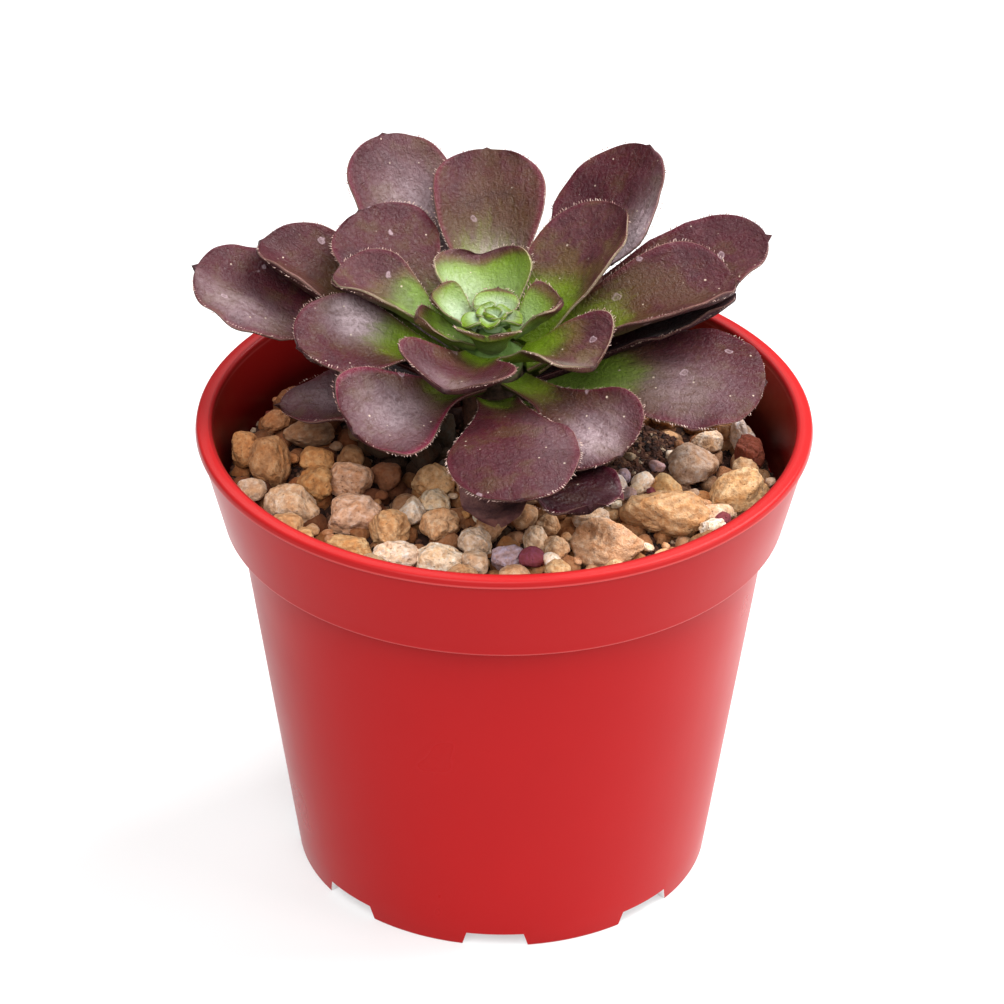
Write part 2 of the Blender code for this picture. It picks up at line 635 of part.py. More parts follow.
dry_dark = material("dry_stalk", (0.06, 0.03, 0.028), 0.8)
stalk_bm = bmesh.new()
stalk_foot = Vector((STALK_X, STALK_Y, gravel_level(STALK_X, STALK_Y) + 2 * GAP))
stalk_tip = Vector((STALK_X + 0.0003, STALK_Y - 0.0010, 0.0940))
stalk_line = stalk_tip - stalk_foot
bmesh.ops.create_cone(stalk_bm, cap_ends=True, segments=10, radius1=0.0008, radius2=0.0005,
                      depth=stalk_line.length,
                      matrix=Matrix.Translation((stalk_foot + stalk_tip) / 2)
                      @ stalk_line.to_track_quat("Z", "Y").to_matrix().to_4x4())
add_object("dry_stalk", stalk_bm, dry_dark)
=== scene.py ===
import math
import random

import bmesh
import bpy
import numpy as np
from mathutils import Matrix, Vector


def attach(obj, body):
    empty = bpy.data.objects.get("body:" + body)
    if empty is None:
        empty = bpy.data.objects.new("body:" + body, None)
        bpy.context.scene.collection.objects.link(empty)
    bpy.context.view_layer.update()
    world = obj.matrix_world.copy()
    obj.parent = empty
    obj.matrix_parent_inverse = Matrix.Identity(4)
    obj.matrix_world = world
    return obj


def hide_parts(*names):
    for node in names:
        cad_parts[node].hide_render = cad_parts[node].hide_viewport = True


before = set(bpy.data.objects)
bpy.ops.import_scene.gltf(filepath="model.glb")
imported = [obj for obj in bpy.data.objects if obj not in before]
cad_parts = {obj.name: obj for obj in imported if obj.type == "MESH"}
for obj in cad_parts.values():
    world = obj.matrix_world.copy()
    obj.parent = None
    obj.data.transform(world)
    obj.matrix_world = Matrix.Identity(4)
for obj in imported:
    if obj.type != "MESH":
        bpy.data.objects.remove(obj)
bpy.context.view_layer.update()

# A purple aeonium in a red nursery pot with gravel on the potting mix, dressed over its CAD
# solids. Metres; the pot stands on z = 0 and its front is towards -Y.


# Pot
# A thin nursery pot moulded in one shot of semi-gloss red plastic, 105 mm over its lip.
# A tall band carries the lip, the wall steps in under it and tapers to a foot ring, and
# eight notches in the ring let water out. Nothing is fixed to it: it stands on the ring.

RIM_R = 0.0525
RIM_TOP = 0.0852
LIP_UNDER = 0.0838
LIP_INNER_R = 0.0496
LIP_INNER_TOP = RIM_TOP - 0.0012  # the lip's inner rounding ends here
LIP_ROUND = 0.0007
BAND_TOP_R = 0.0519
BAND_FOOT_R = 0.0482
BAND_FOOT_Z = 0.0679
BAND_ROUND = 0.0004
BAND_INNER_FOOT_R = 0.0469
BAND_INNER_FOOT_Z = 0.0691
STEP_R = 0.0455
STEP_ROUND = 0.0006
INNER_STEP_ROUND = 0.0005
FOOT_R = 0.0361
FOOT_INNER_R = 0.0339
FOOT_ROUND = 0.0003
BASE_UNDER = 0.0034
BASE_TOP = 0.0050
BASE_ROUND = 0.0008
WALL = 0.0013
POT_SEGMENTS = 224
NOTCHES = 8
NOTCH_TURN = -91.7
NOTCH_HEIGHT = 0.0027
NOTCH_TOP_WIDTH = 0.0099
NOTCH_FOOT_WIDTH = 0.0117
DRAIN_R = 0.0030
DRAIN_RING_R = 0.0255
FOOT_RED_FLOOR_LIT = (0.385, 0.0072, 0.0080)
WALL_RED = (0.345, 0.0058, 0.0068)
BAND_RED = (0.350, 0.0055, 0.0065)
LIP_HIGHLIGHT_RED = (0.350, 0.0120, 0.0125)
CLOUD_RED = (0.240, 0.0050, 0.0065)
EDGE_HIGHLIGHT_RED = (0.60, 0.110, 0.105)
INSIDE_SHADE_RED = (0.026, 0.0006, 0.0006)


class Wiring:
    """Lays down the nodes of one tree: an input given as a socket is linked, a value is set."""

    def __init__(self, tree):
        self.tree = tree

    def feed(self, node, inputs):
        for key, value in inputs.items():
            if isinstance(value, bpy.types.NodeSocket):
                self.tree.links.new(value, node.inputs[key])
            else:
                node.inputs[key].default_value = value
        return node

    def put(self, kind, inputs=None, **settings):
        node = self.tree.nodes.new(kind)
        for key, value in settings.items():
            setattr(node, key, value)
        return self.feed(node, inputs or {})

    def calc(self, operation, first, second=0.0):
        return self.put("ShaderNodeMath", {0: first, 1: second}, operation=operation).outputs[0]

    def times(self, first, second):
        return self.calc("MULTIPLY", first, second)

    def parts(self, vector, kind="XYZ"):
        """The three numbers of a vector, or of a colour where kind is Color."""
        return self.put("ShaderNodeSeparate" + kind, {0: vector}).outputs

    def end(self, geometry, finish):
        """Ends a Geometry Nodes tree as plain faces in the given finish."""
        real = self.put("GeometryNodeRealizeInstances", {0: geometry}).outputs[0]
        done = self.put("GeometryNodeSetMaterial", {"Geometry": real, "Material": finish})
        self.put("NodeGroupOutput", {0: done.outputs[0]})
        return self.tree


class Finish(Wiring):
    """The material of one kind of piece, laid on its own coordinates or attributes."""

    def __init__(self, name):
        self.material = bpy.data.materials.new(name)
        self.material.use_nodes = True
        super().__init__(self.material.node_tree)
        self.shader = self.tree.nodes["Principled BSDF"]

    def here(self):
        return self.put("ShaderNodeTexCoord").outputs["Object"]

    def own(self, label, socket="Fac"):
        """An attribute of the piece's mesh."""
        return self.put("ShaderNodeAttribute", attribute_name=label).outputs[socket]

    def noise(self, place, scale, detail=2.0, roughness=0.5, distortion=0.0, socket="Fac"):
        """A noise texture; scale is in waves per metre of the coordinates."""
        return self.put("ShaderNodeTexNoise", {
            "Vector": place, "Scale": scale, "Detail": detail, "Roughness": roughness,
            "Distortion": distortion}).outputs[socket]

    def cells(self, place, scale):
        """How far off the nearest scattered point is, and that point's own random number."""
        texture = self.put("ShaderNodeTexVoronoi", {"Vector": place, "Scale": scale})
        return texture.outputs["Distance"], self.parts(texture.outputs["Color"], "Color")[0]

    def remap(self, value, low, high, to_low, to_high, smooth=False):
        return self.put("ShaderNodeMapRange", {0: value, 1: low, 2: high, 3: to_low, 4: to_high},
                        interpolation_type="SMOOTHSTEP" if smooth else "LINEAR").outputs[0]

    def mix(self, share, first, second, blend="MIX"):
        pair = [(*c, 1.0) if isinstance(c, tuple) else c for c in (first, second)]
        return self.put("ShaderNodeMix", {0: share, 6: pair[0], 7: pair[1]}, data_type="RGBA",
                        blend_type=blend).outputs[2]

    def ramp(self, share, stops):
        """Colours at their places along 0 to 1, the first at 0 and the last at 1."""
        node = self.put("ShaderNodeValToRGB", {0: share})
        line = node.color_ramp.elements
        line[0].color = (*stops[0][1], 1.0)
        line[1].color = (*stops[-1][1], 1.0)
        for spot, colour in stops[1:-1]:
            line.new(spot).color = (*colour, 1.0)
        return node.outputs[0]

    def bump(self, height, depth, strength=1.0, under=None):
        node = self.put("ShaderNodeBump", {"Height": height, "Distance": depth,
                                           "Strength": strength})
        if under is not None:
            self.feed(node, {"Normal": under})
        self.feed(self.shader, {"Normal": node.outputs[0]})
        return node.outputs[0]

    def close(self, colour, roughness, specular=0.5):
        self.feed(self.shader, {"Base Color": colour, "Roughness": roughness,
                                "Specular IOR Level": specular})
        return self.material


def red_plastic():
    skin = Finish("pot_red_plastic")
    place = skin.here()
    height = skin.parts(place)[2]
    cloud = skin.noise(place, 26.0, 3.0)
    # painted light: the wall is painted lighter towards the foot, where the floor lights it, and the
    # band above the step has a red of its own
    wall = skin.mix(skin.remap(height, 0.0, 0.066, 1.0, 0.0), WALL_RED, FOOT_RED_FLOOR_LIT)
    band = skin.mix(skin.remap(height, 0.0672, 0.0680, 0.0, 1.0), wall, BAND_RED)
    # painted highlight: the lip is painted a paler red, as its top catches the light
    body = skin.mix(skin.remap(height, LIP_UNDER, 0.0846, 0.0, 1.0), band, LIP_HIGHLIGHT_RED)
    patchy = skin.mix(skin.remap(cloud, 0.30, 0.70, 0.0, 0.16, True), body, CLOUD_RED)
    # painted highlight: pale lines are painted along the moulding's rounded edges under the lip and
    # at the foot of the band
    level = skin.put("ShaderNodeVectorMath", {0: place, 1: (1.0, 1.0, 0.0)},
                     operation="MULTIPLY").outputs[0]
    away = skin.put("ShaderNodeVectorMath", {0: level}, operation="LENGTH").outputs["Value"]
    outside = skin.calc("GREATER_THAN", away, BAND_FOOT_R - 0.0009)
    lip_edge = skin.calc("ABSOLUTE", skin.calc("SUBTRACT", height, LIP_UNDER + 0.0001))
    foot_edge = skin.calc("ABSOLUTE", skin.calc("SUBTRACT", height, BAND_FOOT_Z + 0.0002))
    nearest = skin.calc("MINIMUM", lip_edge, foot_edge)
    edge_highlight = skin.remap(nearest, 0.00008, 0.00026, 0.42, 0.0)
    edge_highlighted = skin.mix(skin.times(edge_highlight, outside), patchy, EDGE_HIGHLIGHT_RED)
    # painted shade: inside, the wall is painted darker down towards the gravel
    flare = (LIP_INNER_R - BAND_INNER_FOOT_R) / (LIP_INNER_TOP - BAND_INNER_FOOT_Z)
    foot_r = BAND_INNER_FOOT_R + 0.0005
    halfway = skin.remap(height, BAND_INNER_FOOT_Z, RIM_TOP, foot_r,
                         foot_r + flare * (RIM_TOP - BAND_INNER_FOOT_Z))
    inside = skin.times(skin.calc("LESS_THAN", away, halfway),
                        skin.calc("GREATER_THAN", height, BAND_INNER_FOOT_Z + 0.0003))
    painted_shade = skin.times(inside, skin.remap(height, 0.0745, 0.0850, 0.97, 0.30))
    skin.bump(cloud, 0.0004, 0.22)
    return skin.close(skin.mix(painted_shade, edge_highlighted, INSIDE_SHADE_RED),
                      skin.remap(cloud, 0.25, 0.75, 0.26, 0.36, True), 0.10)


def corner(centre_r, centre_z, radius, start, end, steps):
    """Points of a rounded corner of a turned profile, angles in degrees from +R towards +Z."""
    points = []
    for k in range(steps + 1):
        a = math.radians(start + (end - start) * k / steps)
        points.append((centre_r + radius * math.cos(a), centre_z + radius * math.sin(a)))
    return points


def straight(start_r, start_z, end_r, end_z, steps):
    """Points between the two ends of a straight stretch of a turned profile."""
    return [(start_r + (end_r - start_r) * k / steps, start_z + (end_z - start_z) * k / steps)
            for k in range(1, steps)]


def new_tree(name, **sockets):
    """The wiring of a Geometry Nodes tree with these inputs, and the inputs' sockets."""
    tree = bpy.data.node_groups.new(name, "GeometryNodeTree")
    for label, kind in sockets.items():
        tree.interface.new_socket(label.replace("_", " ").capitalize(), in_out="INPUT",
                                  socket_type="NodeSocket" + kind)
    tree.interface.new_socket("Geometry", in_out="OUTPUT", socket_type="NodeSocketGeometry")
    work = Wiring(tree)
    return work, work.put("NodeGroupInput").outputs


def turning_tree():
    """Turns the input's profile, points at (radius, 0, height), about a vertical axis."""
    work, given = new_tree("turning", profile="Geometry", segments="Int", axis="Vector",
                           finish="Material")
    count = work.put("GeometryNodeAttributeDomainSize",
                     {0: given["Profile"]}).outputs["Point Count"]
    columns = work.calc("ADD", given["Segments"], 1)
    grid = work.put("GeometryNodeMeshGrid", {"Vertices X": columns, "Vertices Y": count})
    index = work.put("GeometryNodeInputIndex").outputs[0]
    row = work.calc("MODULO", index, count)
    column = work.calc("FLOOR", work.calc("DIVIDE", index, count))
    angle = work.times(work.calc("DIVIDE", column, given["Segments"]), 2.0 * math.pi)
    spot = work.put("GeometryNodeInputPosition").outputs[0]
    sample = work.put("GeometryNodeSampleIndex", {0: given["Profile"], "Value": spot, "Index": row},
                      data_type="FLOAT_VECTOR", domain="POINT")
    radius, _, height = work.parts(sample.outputs[0])
    place = work.put("ShaderNodeCombineXYZ", {0: work.times(radius, work.calc("COSINE", angle)),
                                              1: work.times(radius, work.calc("SINE", angle)),
                                              2: height})
    moved = work.put("GeometryNodeSetPosition", {
        "Geometry": grid.outputs["Mesh"], "Position": place.outputs[0], "Offset": given["Axis"]})
    closed = work.put("GeometryNodeMergeByDistance", {"Geometry": moved.outputs[0],
                                                      "Distance": 1e-6})
    return work.end(closed.outputs[0], given["Finish"])


def object_from(name, points=(), edges=(), faces=()):
    mesh = bpy.data.meshes.new(name)
    mesh.from_pydata([tuple(p) for p in points], edges, faces)
    obj = bpy.data.objects.new(name, mesh)
    bpy.context.scene.collection.objects.link(obj)
    return obj


def object_of(name, work):
    """The object of a mesh under way, which ends with it."""
    obj = object_from(name)
    work.to_mesh(obj.data)
    work.free()
    return obj


def keep_result(obj):
    """Makes what the modifiers show the object's plain mesh."""
    graph = bpy.context.evaluated_depsgraph_get()
    mesh = bpy.data.meshes.new_from_object(obj.evaluated_get(graph), depsgraph=graph)
    obj.modifiers.clear()
    obj.data = mesh
    return obj


def grow(obj, tree, **inputs):
    """Runs a Geometry Nodes tree on the object and keeps the result as its plain mesh."""
    step = obj.modifiers.new(tree.name, "NODES")
    step.node_group = tree
    for item in tree.interface.items_tree:
        label = item.name.replace(" ", "_").lower()
        if item.in_out == "INPUT" and label in inputs:
            step[item.identifier] = inputs[label]
    return keep_result(obj)


turning = turning_tree()


def turned(name, profile, segments, finish, x=0.0, y=0.0):
    """A piece turned from points (radius, height) about the vertical axis through x, y."""
    obj = object_from(name, [(r, 0.0, z) for r, z in profile],
                      [(k, k + 1) for k in range(len(profile) - 1)])
    return grow(obj, turning, segments=segments, axis=(x, y, 0.0), finish=finish)


def shade(obj, sharp):
    obj.data.shade_smooth()
    obj.data.set_sharp_from_angle(angle=math.radians(sharp))


def point_outwards(obj, sharp=60.0):
    """Closes doubles, turns every face outwards and shades it smooth up to the sharp angle."""
    work = bmesh.new()
    work.from_mesh(obj.data)
    bmesh.ops.remove_doubles(work, verts=work.verts, dist=1e-7)
    bmesh.ops.recalc_face_normals(work, faces=work.faces)
    work.to_mesh(obj.data)
    work.free()
    shade(obj, sharp)


# from the middle of the base, out round the foot, up the outside, over the lip and down inside
pot_profile = [(0.0, BASE_UNDER), (FOOT_INNER_R - STEP_ROUND, BASE_UNDER)]
pot_profile += corner(FOOT_INNER_R - STEP_ROUND, BASE_UNDER - STEP_ROUND, STEP_ROUND, 90, 0, 4)
pot_profile += corner(FOOT_INNER_R + 0.0005, FOOT_ROUND, FOOT_ROUND, 180, 270, 3)
pot_profile += corner(FOOT_R - FOOT_ROUND, FOOT_ROUND, FOOT_ROUND, 270, 360, 3)
pot_profile += straight(FOOT_R, FOOT_ROUND, STEP_R, BAND_FOOT_Z - 0.0007, 12)
pot_profile += corner(STEP_R + STEP_ROUND, BAND_FOOT_Z - STEP_ROUND, STEP_ROUND, 180, 90, 4)
pot_profile += corner(BAND_FOOT_R - BAND_ROUND, BAND_FOOT_Z + BAND_ROUND, BAND_ROUND, 270, 360, 4)
pot_profile += straight(BAND_FOOT_R, BAND_FOOT_Z + BAND_ROUND, BAND_TOP_R, LIP_UNDER - 0.0006, 6)
pot_profile += corner(BAND_TOP_R + 0.00025, LIP_UNDER - 0.0004, 0.00025, 180, 90, 3)
pot_profile += corner(RIM_R - 0.0002, LIP_UNDER + 0.00005, 0.0002, 270, 360, 3)
pot_profile += corner(RIM_R - 0.0001 - LIP_ROUND, RIM_TOP - LIP_ROUND - 0.0001, LIP_ROUND, 8, 80, 6)
pot_profile += [(RIM_R - 0.0013, RIM_TOP), (LIP_INNER_R + 0.0012, RIM_TOP)]
pot_profile += corner(LIP_INNER_R + LIP_ROUND, RIM_TOP - 0.0008, LIP_ROUND, 95, 180, 6)
pot_profile += straight(LIP_INNER_R, LIP_INNER_TOP, BAND_INNER_FOOT_R, BAND_INNER_FOOT_Z + 0.0006, 6)
pot_profile += corner(BAND_INNER_FOOT_R - INNER_STEP_ROUND, BAND_INNER_FOOT_Z + INNER_STEP_ROUND,
                      INNER_STEP_ROUND, 0, -90, 3)
pot_profile += corner(STEP_R - WALL + 0.0003, BAND_INNER_FOOT_Z - INNER_STEP_ROUND,
                      INNER_STEP_ROUND, 90, 180, 3)
pot_profile += corner(FOOT_R - WALL - 0.0002, BASE_TOP + BASE_ROUND, BASE_ROUND, 0, -90, 4)
pot_profile.append((0.0, BASE_TOP))
pot = turned("red_pot", pot_profile, POT_SEGMENTS, red_plastic())
point_outwards(pot, 40.0)

# one cutter holds the eight notches and the drainage hole behind each of them
cuts = bmesh.new()
for k in range(NOTCHES):
    turn = Matrix.Rotation(math.radians(NOTCH_TURN + 360.0 * k / NOTCHES), 4, "Z")
    ends = []
    for along in (FOOT_INNER_R - 0.0030, FOOT_R + 0.0030):
        ends.append([cuts.verts.new(turn @ Vector((along, across, up))) for across, up in (
            (-NOTCH_FOOT_WIDTH / 2, -0.0006), (NOTCH_FOOT_WIDTH / 2, -0.0006),
            (NOTCH_TOP_WIDTH / 2, NOTCH_HEIGHT), (-NOTCH_TOP_WIDTH / 2, NOTCH_HEIGHT))])
    cuts.faces.new(ends[0])
    cuts.faces.new(ends[1])
    for i in range(4):
        j = (i + 1) % 4
        cuts.faces.new((ends[0][i], ends[0][j], ends[1][j], ends[1][i]))
    bmesh.ops.create_cone(cuts, cap_ends=True, segments=28, radius1=DRAIN_R, radius2=DRAIN_R,
                          depth=0.006, matrix=turn @ Matrix.Translation((DRAIN_RING_R, 0, 0.0042)))
bmesh.ops.recalc_face_normals(cuts, faces=cuts.faces)
cutter = object_of("foot_cuts", cuts)
notch = pot.modifiers.new("notches", "BOOLEAN")
notch.operation = "DIFFERENCE"
notch.object = cutter
notch.solver = "EXACT"
keep_result(pot)
bpy.data.objects.remove(cutter, do_unlink=True)
shade(pot, 40.0)
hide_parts("pot")
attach(pot, "root")


# Potting mix
# Dark peaty compost fills the pot up to its step. Only the drainage holes and the gaps
# between the stones show it, so its CAD plug stays and takes a crumbly dark finish.

def compost():
    skin = Finish("potting_mix")
    lumps = skin.noise(skin.here(), 700.0, 5.0, 0.7)
    skin.bump(lumps, 0.0006)
    return skin.close(skin.mix(skin.remap(lumps, 0.3, 0.7, 0.0, 1.0), (0.008, 0.003, 0.002),
                               (0.040, 0.014, 0.007)), 0.95, 0.2)


dark_mix = compost()
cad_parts["potting_mix"].data.materials.clear()
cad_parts["potting_mix"].data.materials.append(dark_mix)


# Gravel
# A loose top dressing of porous broken stones, 3 to 15 mm, in tan, ochre, cream and a few odd
# colours, on crumbly dark mix. They lie half sunk in two layers and lean on one another, and
# the dressing slopes up a little to the front left.

MIX_TOP = 0.0688
GRAVEL_FOOT = MIX_TOP + 0.0006
GRAVEL_LEVEL = 0.0742
SLOPE_X = -0.0330
SLOPE_Y = -0.0440
GRAVEL_R = 0.0462
BED_SUNK = 0.0030
BED_SIDES = 160
STEM_X = -0.002
STEM_Y = 0.002
STEM_HOLE_R = 0.0052
STALK_X = 0.0205
STALK_Y = 0.0120
BARE_X = 0.0228
BARE_Y = 0.0075
BARE_HALF_X = 0.0098
BARE_HALF_Y = 0.0115
STONE_TONES = {
    "ochre": (0.560, 0.325, 0.155),
    "tan": (0.570, 0.335, 0.180),
    "cream": (0.680, 0.480, 0.320),
    "white": (0.760, 0.610, 0.480),
    "grey": (0.400, 0.270, 0.175),
    "brown": (0.250, 0.115, 0.050),
    "brick": (0.230, 0.052, 0.032),
    "pink": (0.440, 0.300, 0.320),
    "wine": (0.190, 0.036, 0.050),
}
# x, y, half length, half width, half height, turn, tone
CHOSEN_STONES = [
    (0.0270, -0.0150, 0.0077, 0.0050, 0.0044, 4, "ochre"),
    (0.0173, -0.0256, 0.0062, 0.0050, 0.0044, 0, "tan"),
    (0.0400, -0.0055, 0.0050, 0.0048, 0.0044, 10, "tan"),
    (0.0320, 0.0025, 0.0046, 0.0044, 0.0038, -20, "grey"),
    (0.0425, 0.0082, 0.0024, 0.0036, 0.0030, 20, "brick"),
    (0.0445, 0.0150, 0.0022, 0.0038, 0.0034, 20, "white"),
    (0.0009, -0.0311, 0.0030, 0.0024, 0.0024, 0, "pink"),
    (-0.0106, -0.0320, 0.0043, 0.0030, 0.0028, 5, "white"),
    (-0.0251, -0.0172, 0.0046, 0.0036, 0.0032, 12, "cream"),
    (-0.0262, -0.0058, 0.0040, 0.0034, 0.0032, -20, "cream"),
    (-0.0400, -0.0006, 0.0038, 0.0046, 0.0043, 10, "tan"),
    (-0.0338, 0.0105, 0.0045, 0.0032, 0.0027, 8, "grey"),
    (-0.0358, -0.0155, 0.0050, 0.0040, 0.0036, -28, "cream"),
    (-0.0455, 0.0030, 0.0026, 0.0036, 0.0032, 0, "ochre"),
    (-0.0318, -0.0078, 0.0036, 0.0036, 0.0034, -30, "ochre"),
    (-0.0120, -0.0050, 0.0038, 0.0034, 0.0030, 0, "ochre"),
    (-0.0118, -0.0128, 0.0028, 0.0026, 0.0024, 20, "cream"),
    (-0.0048, -0.0258, 0.0029, 0.0028, 0.0027, 0, "cream"),
    (-0.0190, -0.0220, 0.0037, 0.0038, 0.0033, 40, "tan"),
    (-0.0108, -0.0202, 0.0034, 0.0032, 0.0027, 0, "tan"),
    (-0.0255, -0.0290, 0.0040, 0.0028, 0.0024, -15, "ochre"),
    (-0.0180, -0.0310, 0.0038, 0.0026, 0.0023, 10, "white"),
    (0.0053, -0.0250, 0.0020, 0.0030, 0.0026, 10, "cream"),
    (0.0088, -0.0278, 0.0023, 0.0026, 0.0023, 0, "tan"),
    (0.0074, -0.0190, 0.0022, 0.0020, 0.0018, 0, "tan"),
    (0.0352, -0.0190, 0.0026, 0.0024, 0.0022, 30, "white"),
    (-0.0395, 0.0145, 0.0028, 0.0024, 0.0020, 40, "ochre"),
    (-0.0372, 0.0208, 0.0032, 0.0028, 0.0030, 30, "brown"),
    (-0.0318, 0.0248, 0.0031, 0.0024, 0.0030, -20, "ochre"),
    (-0.0262, 0.0285, 0.0034, 0.0024, 0.0029, 10, "tan"),
    (0.0352, 0.0118, 0.0030, 0.0022, 0.0026, 15, "cream"),
    (0.0385, 0.0175, 0.0032, 0.0024, 0.0030, 30, "ochre"),
]
# small ones that lie on top: x, y, half size, tone
TOP_CHIPS = [
    (0.0048, -0.0322, 0.0019, "wine"), (0.0080, -0.0326, 0.0014, "white"),
    (0.0238, -0.0048, 0.0019, "white"), (0.0212, -0.0086, 0.0013, "pink"),
    (0.0186, -0.0060, 0.0012, "white"), (0.0262, 0.0010, 0.0012, "pink"),
    (0.0215, 0.0040, 0.0010, "cream"), (0.0370, -0.0165, 0.0014, "wine"),
    (0.0205, -0.0030, 0.0013, "pink"), (0.0226, -0.0075, 0.0011, "cream"),
    (0.0178, -0.0098, 0.0014, "pink"), (0.0222, -0.0112, 0.0010, "white"),
    (0.0190, -0.0125, 0.0009, "white"), (0.0250, -0.0082, 0.0009, "wine"),
    (0.0170, -0.0030, 0.0010, "brick"), (0.0285, 0.0050, 0.0009, "white"),
    (0.0305, 0.0085, 0.0011, "brown"),
]
SEEDED_TONES = ["tan", "cream", "ochre", "grey", "brown", "white", "brick"]
TONE_WEIGHTS = [34, 26, 26, 5, 5, 6, 1]
BACK_LEFT_WEIGHTS = [26, 10, 34, 8, 24, 1, 1]
STONE_SEED = 11
STONE_TRIES = 1500
STONE_MIN = 0.0026
STONE_MAX = 0.0046
STONE_REACH = 0.0475
STONE_PACK = 0.93
LOWER_SEED = 21
LOWER_TRIES = 5000
LOWER_MIN = 0.0019
LOWER_MAX = 0.0030
LOWER_REACH = 0.0478
LOWER_PACK = 0.82
CHIP_SEED = 5
CHIP_TRIES = 420
CHIP_MIN = 0.0007
CHIP_SPREAD = 0.0009
CHIP_PACK = 0.92
LEAN = 0.30
PROUD = 0.16  # share of half its height that a stone's middle stands over the gravel's level
# painted shade: how much darker the stones are painted at the left and under the rosette
LEFT_SHADE_LOSS = (0.26, 0.42, 0.52)
SHADE_LOSS = 0.90


def gravel_level(x, y):
    return GRAVEL_LEVEL + SLOPE_X * x + SLOPE_Y * y


def smooth_step(t):
    t = np.clip(t, 0.0, 1.0)
    return t * t * (3.0 - 2.0 * t)


def bareness(x, y):
    """1 in the middle of the patch of bare mix right of the stem, 0 outside it."""
    away = ((x - BARE_X) / BARE_HALF_X) ** 2 + ((y - BARE_Y) / BARE_HALF_Y) ** 2
    return np.clip(1.0 - away, 0.0, 1.0)


def waves(points, seed, length, count=8):
    """A smooth random swell, about -1 to 1, of the given wavelength at each point."""
    draw = np.random.default_rng(seed)
    total = np.zeros(len(points))
    for _ in range(count):
        way = draw.normal(size=3)
        way *= 2.0 * math.pi / length * draw.uniform(0.6, 1.5) / np.linalg.norm(way)
        total += np.sin(points @ way + draw.uniform(0.0, 2.0 * math.pi))
    return total / math.sqrt(count)


def wall_radius(z):
    """Inside radius of the pot's band at height z."""
    rise = (z - BAND_INNER_FOOT_Z) / (LIP_INNER_TOP - BAND_INNER_FOOT_Z)
    return BAND_INNER_FOOT_R + rise * (LIP_INNER_R - BAND_INNER_FOOT_R)


def keep_off_wall(x, y, long_r, wide_r, high_r, turn):
    """Draw a stone inwards where it would touch the pot's wall."""
    reach = math.hypot(x, y)
    angle = math.atan2(y, x) - math.radians(turn)
    radial = math.hypot(long_r * math.cos(angle), wide_r * math.sin(angle))
    limit = wall_radius(gravel_level(x, y) - 0.6 * high_r) - 0.0006 - 1.12 * radial
    if reach > limit:
        x *= limit / reach
        y *= limit / reach
    return x, y


def clear_of_plant(x, y, size):
    return (math.hypot(x - STEM_X, y - STEM_Y) >= size * 1.1 + STEM_HOLE_R + 0.0006
            and math.hypot(x - STALK_X, y - STALK_Y) >= size * 1.2 + 0.0014)


def strewn(seed, tries, inmost, outmost, draw_size, spare=1.0):
    """Random places and sizes of stones, inside the wall and clear of the plant."""
    rng = random.Random(seed)
    for _ in range(tries):
        angle = rng.uniform(0.0, 2.0 * math.pi)
        reach = math.sqrt(rng.uniform(inmost, 1.0)) * outmost
        size = draw_size(rng)
        x, y = keep_off_wall(reach * math.cos(angle), reach * math.sin(angle), size * spare,
                             size * spare, size, 0.0)
        if clear_of_plant(x, y, size):
            yield rng, x, y, size


def has_room(x, y, size, pack, stones):
    return all(math.hypot(x - s[0], y - s[1]) >= pack * (size + 0.5 * (s[2] + s[3]))
               for s in stones)


def seeded_size(rng):
    return STONE_MIN + (STONE_MAX - STONE_MIN) * rng.random() ** 1.6


def lower_size(rng):
    return rng.uniform(LOWER_MIN, LOWER_MAX)


def chip_size(rng):
    return CHIP_MIN + CHIP_SPREAD * rng.random()


chosen = [(*keep_off_wall(*stone[:6]), *stone[2:]) for stone in CHOSEN_STONES]
seeded = []
for rng, x, y, size in strewn(STONE_SEED, STONE_TRIES, 0.03, STONE_REACH, seeded_size, 1.15):
    if has_room(x, y, size, STONE_PACK, chosen + seeded):
        seeded.append((x, y, size * rng.uniform(1.0, 1.15), size * rng.uniform(0.8, 1.0),
                       size * rng.uniform(0.7, 0.95), rng.uniform(0, 180), None))
seeded = [s for s in seeded if bareness(s[0], s[1]) < 0.35]

# the lower layer fills the gaps, with its tops just under the others' middles
lower = []
for rng, x, y, size in strewn(LOWER_SEED, LOWER_TRIES, 0.02, LOWER_REACH, lower_size):
    if bareness(x, y) <= 0.25 and all(
            math.hypot(x - s[0], y - s[1]) >= LOWER_PACK * (size + s[2]) for s in lower):
        lower.append((x, y, size, size * rng.uniform(0.75, 1.0), size * 0.85,
                      rng.uniform(0, 180), None))

chips = []
for rng, x, y, size in strewn(CHIP_SEED, CHIP_TRIES, 0.02, LOWER_REACH, chip_size):
    if has_room(x, y, size, CHIP_PACK, chosen + seeded + chips):
        chips.append((x, y, size * rng.uniform(1.0, 1.4), size, size * rng.uniform(0.6, 0.9),
                      rng.uniform(0, 180), None))
top_chips = [(x, y, size * 1.25, size * 0.9, size * 0.9, 40000.0 * x, tone)
             for x, y, size, tone in TOP_CHIPS]


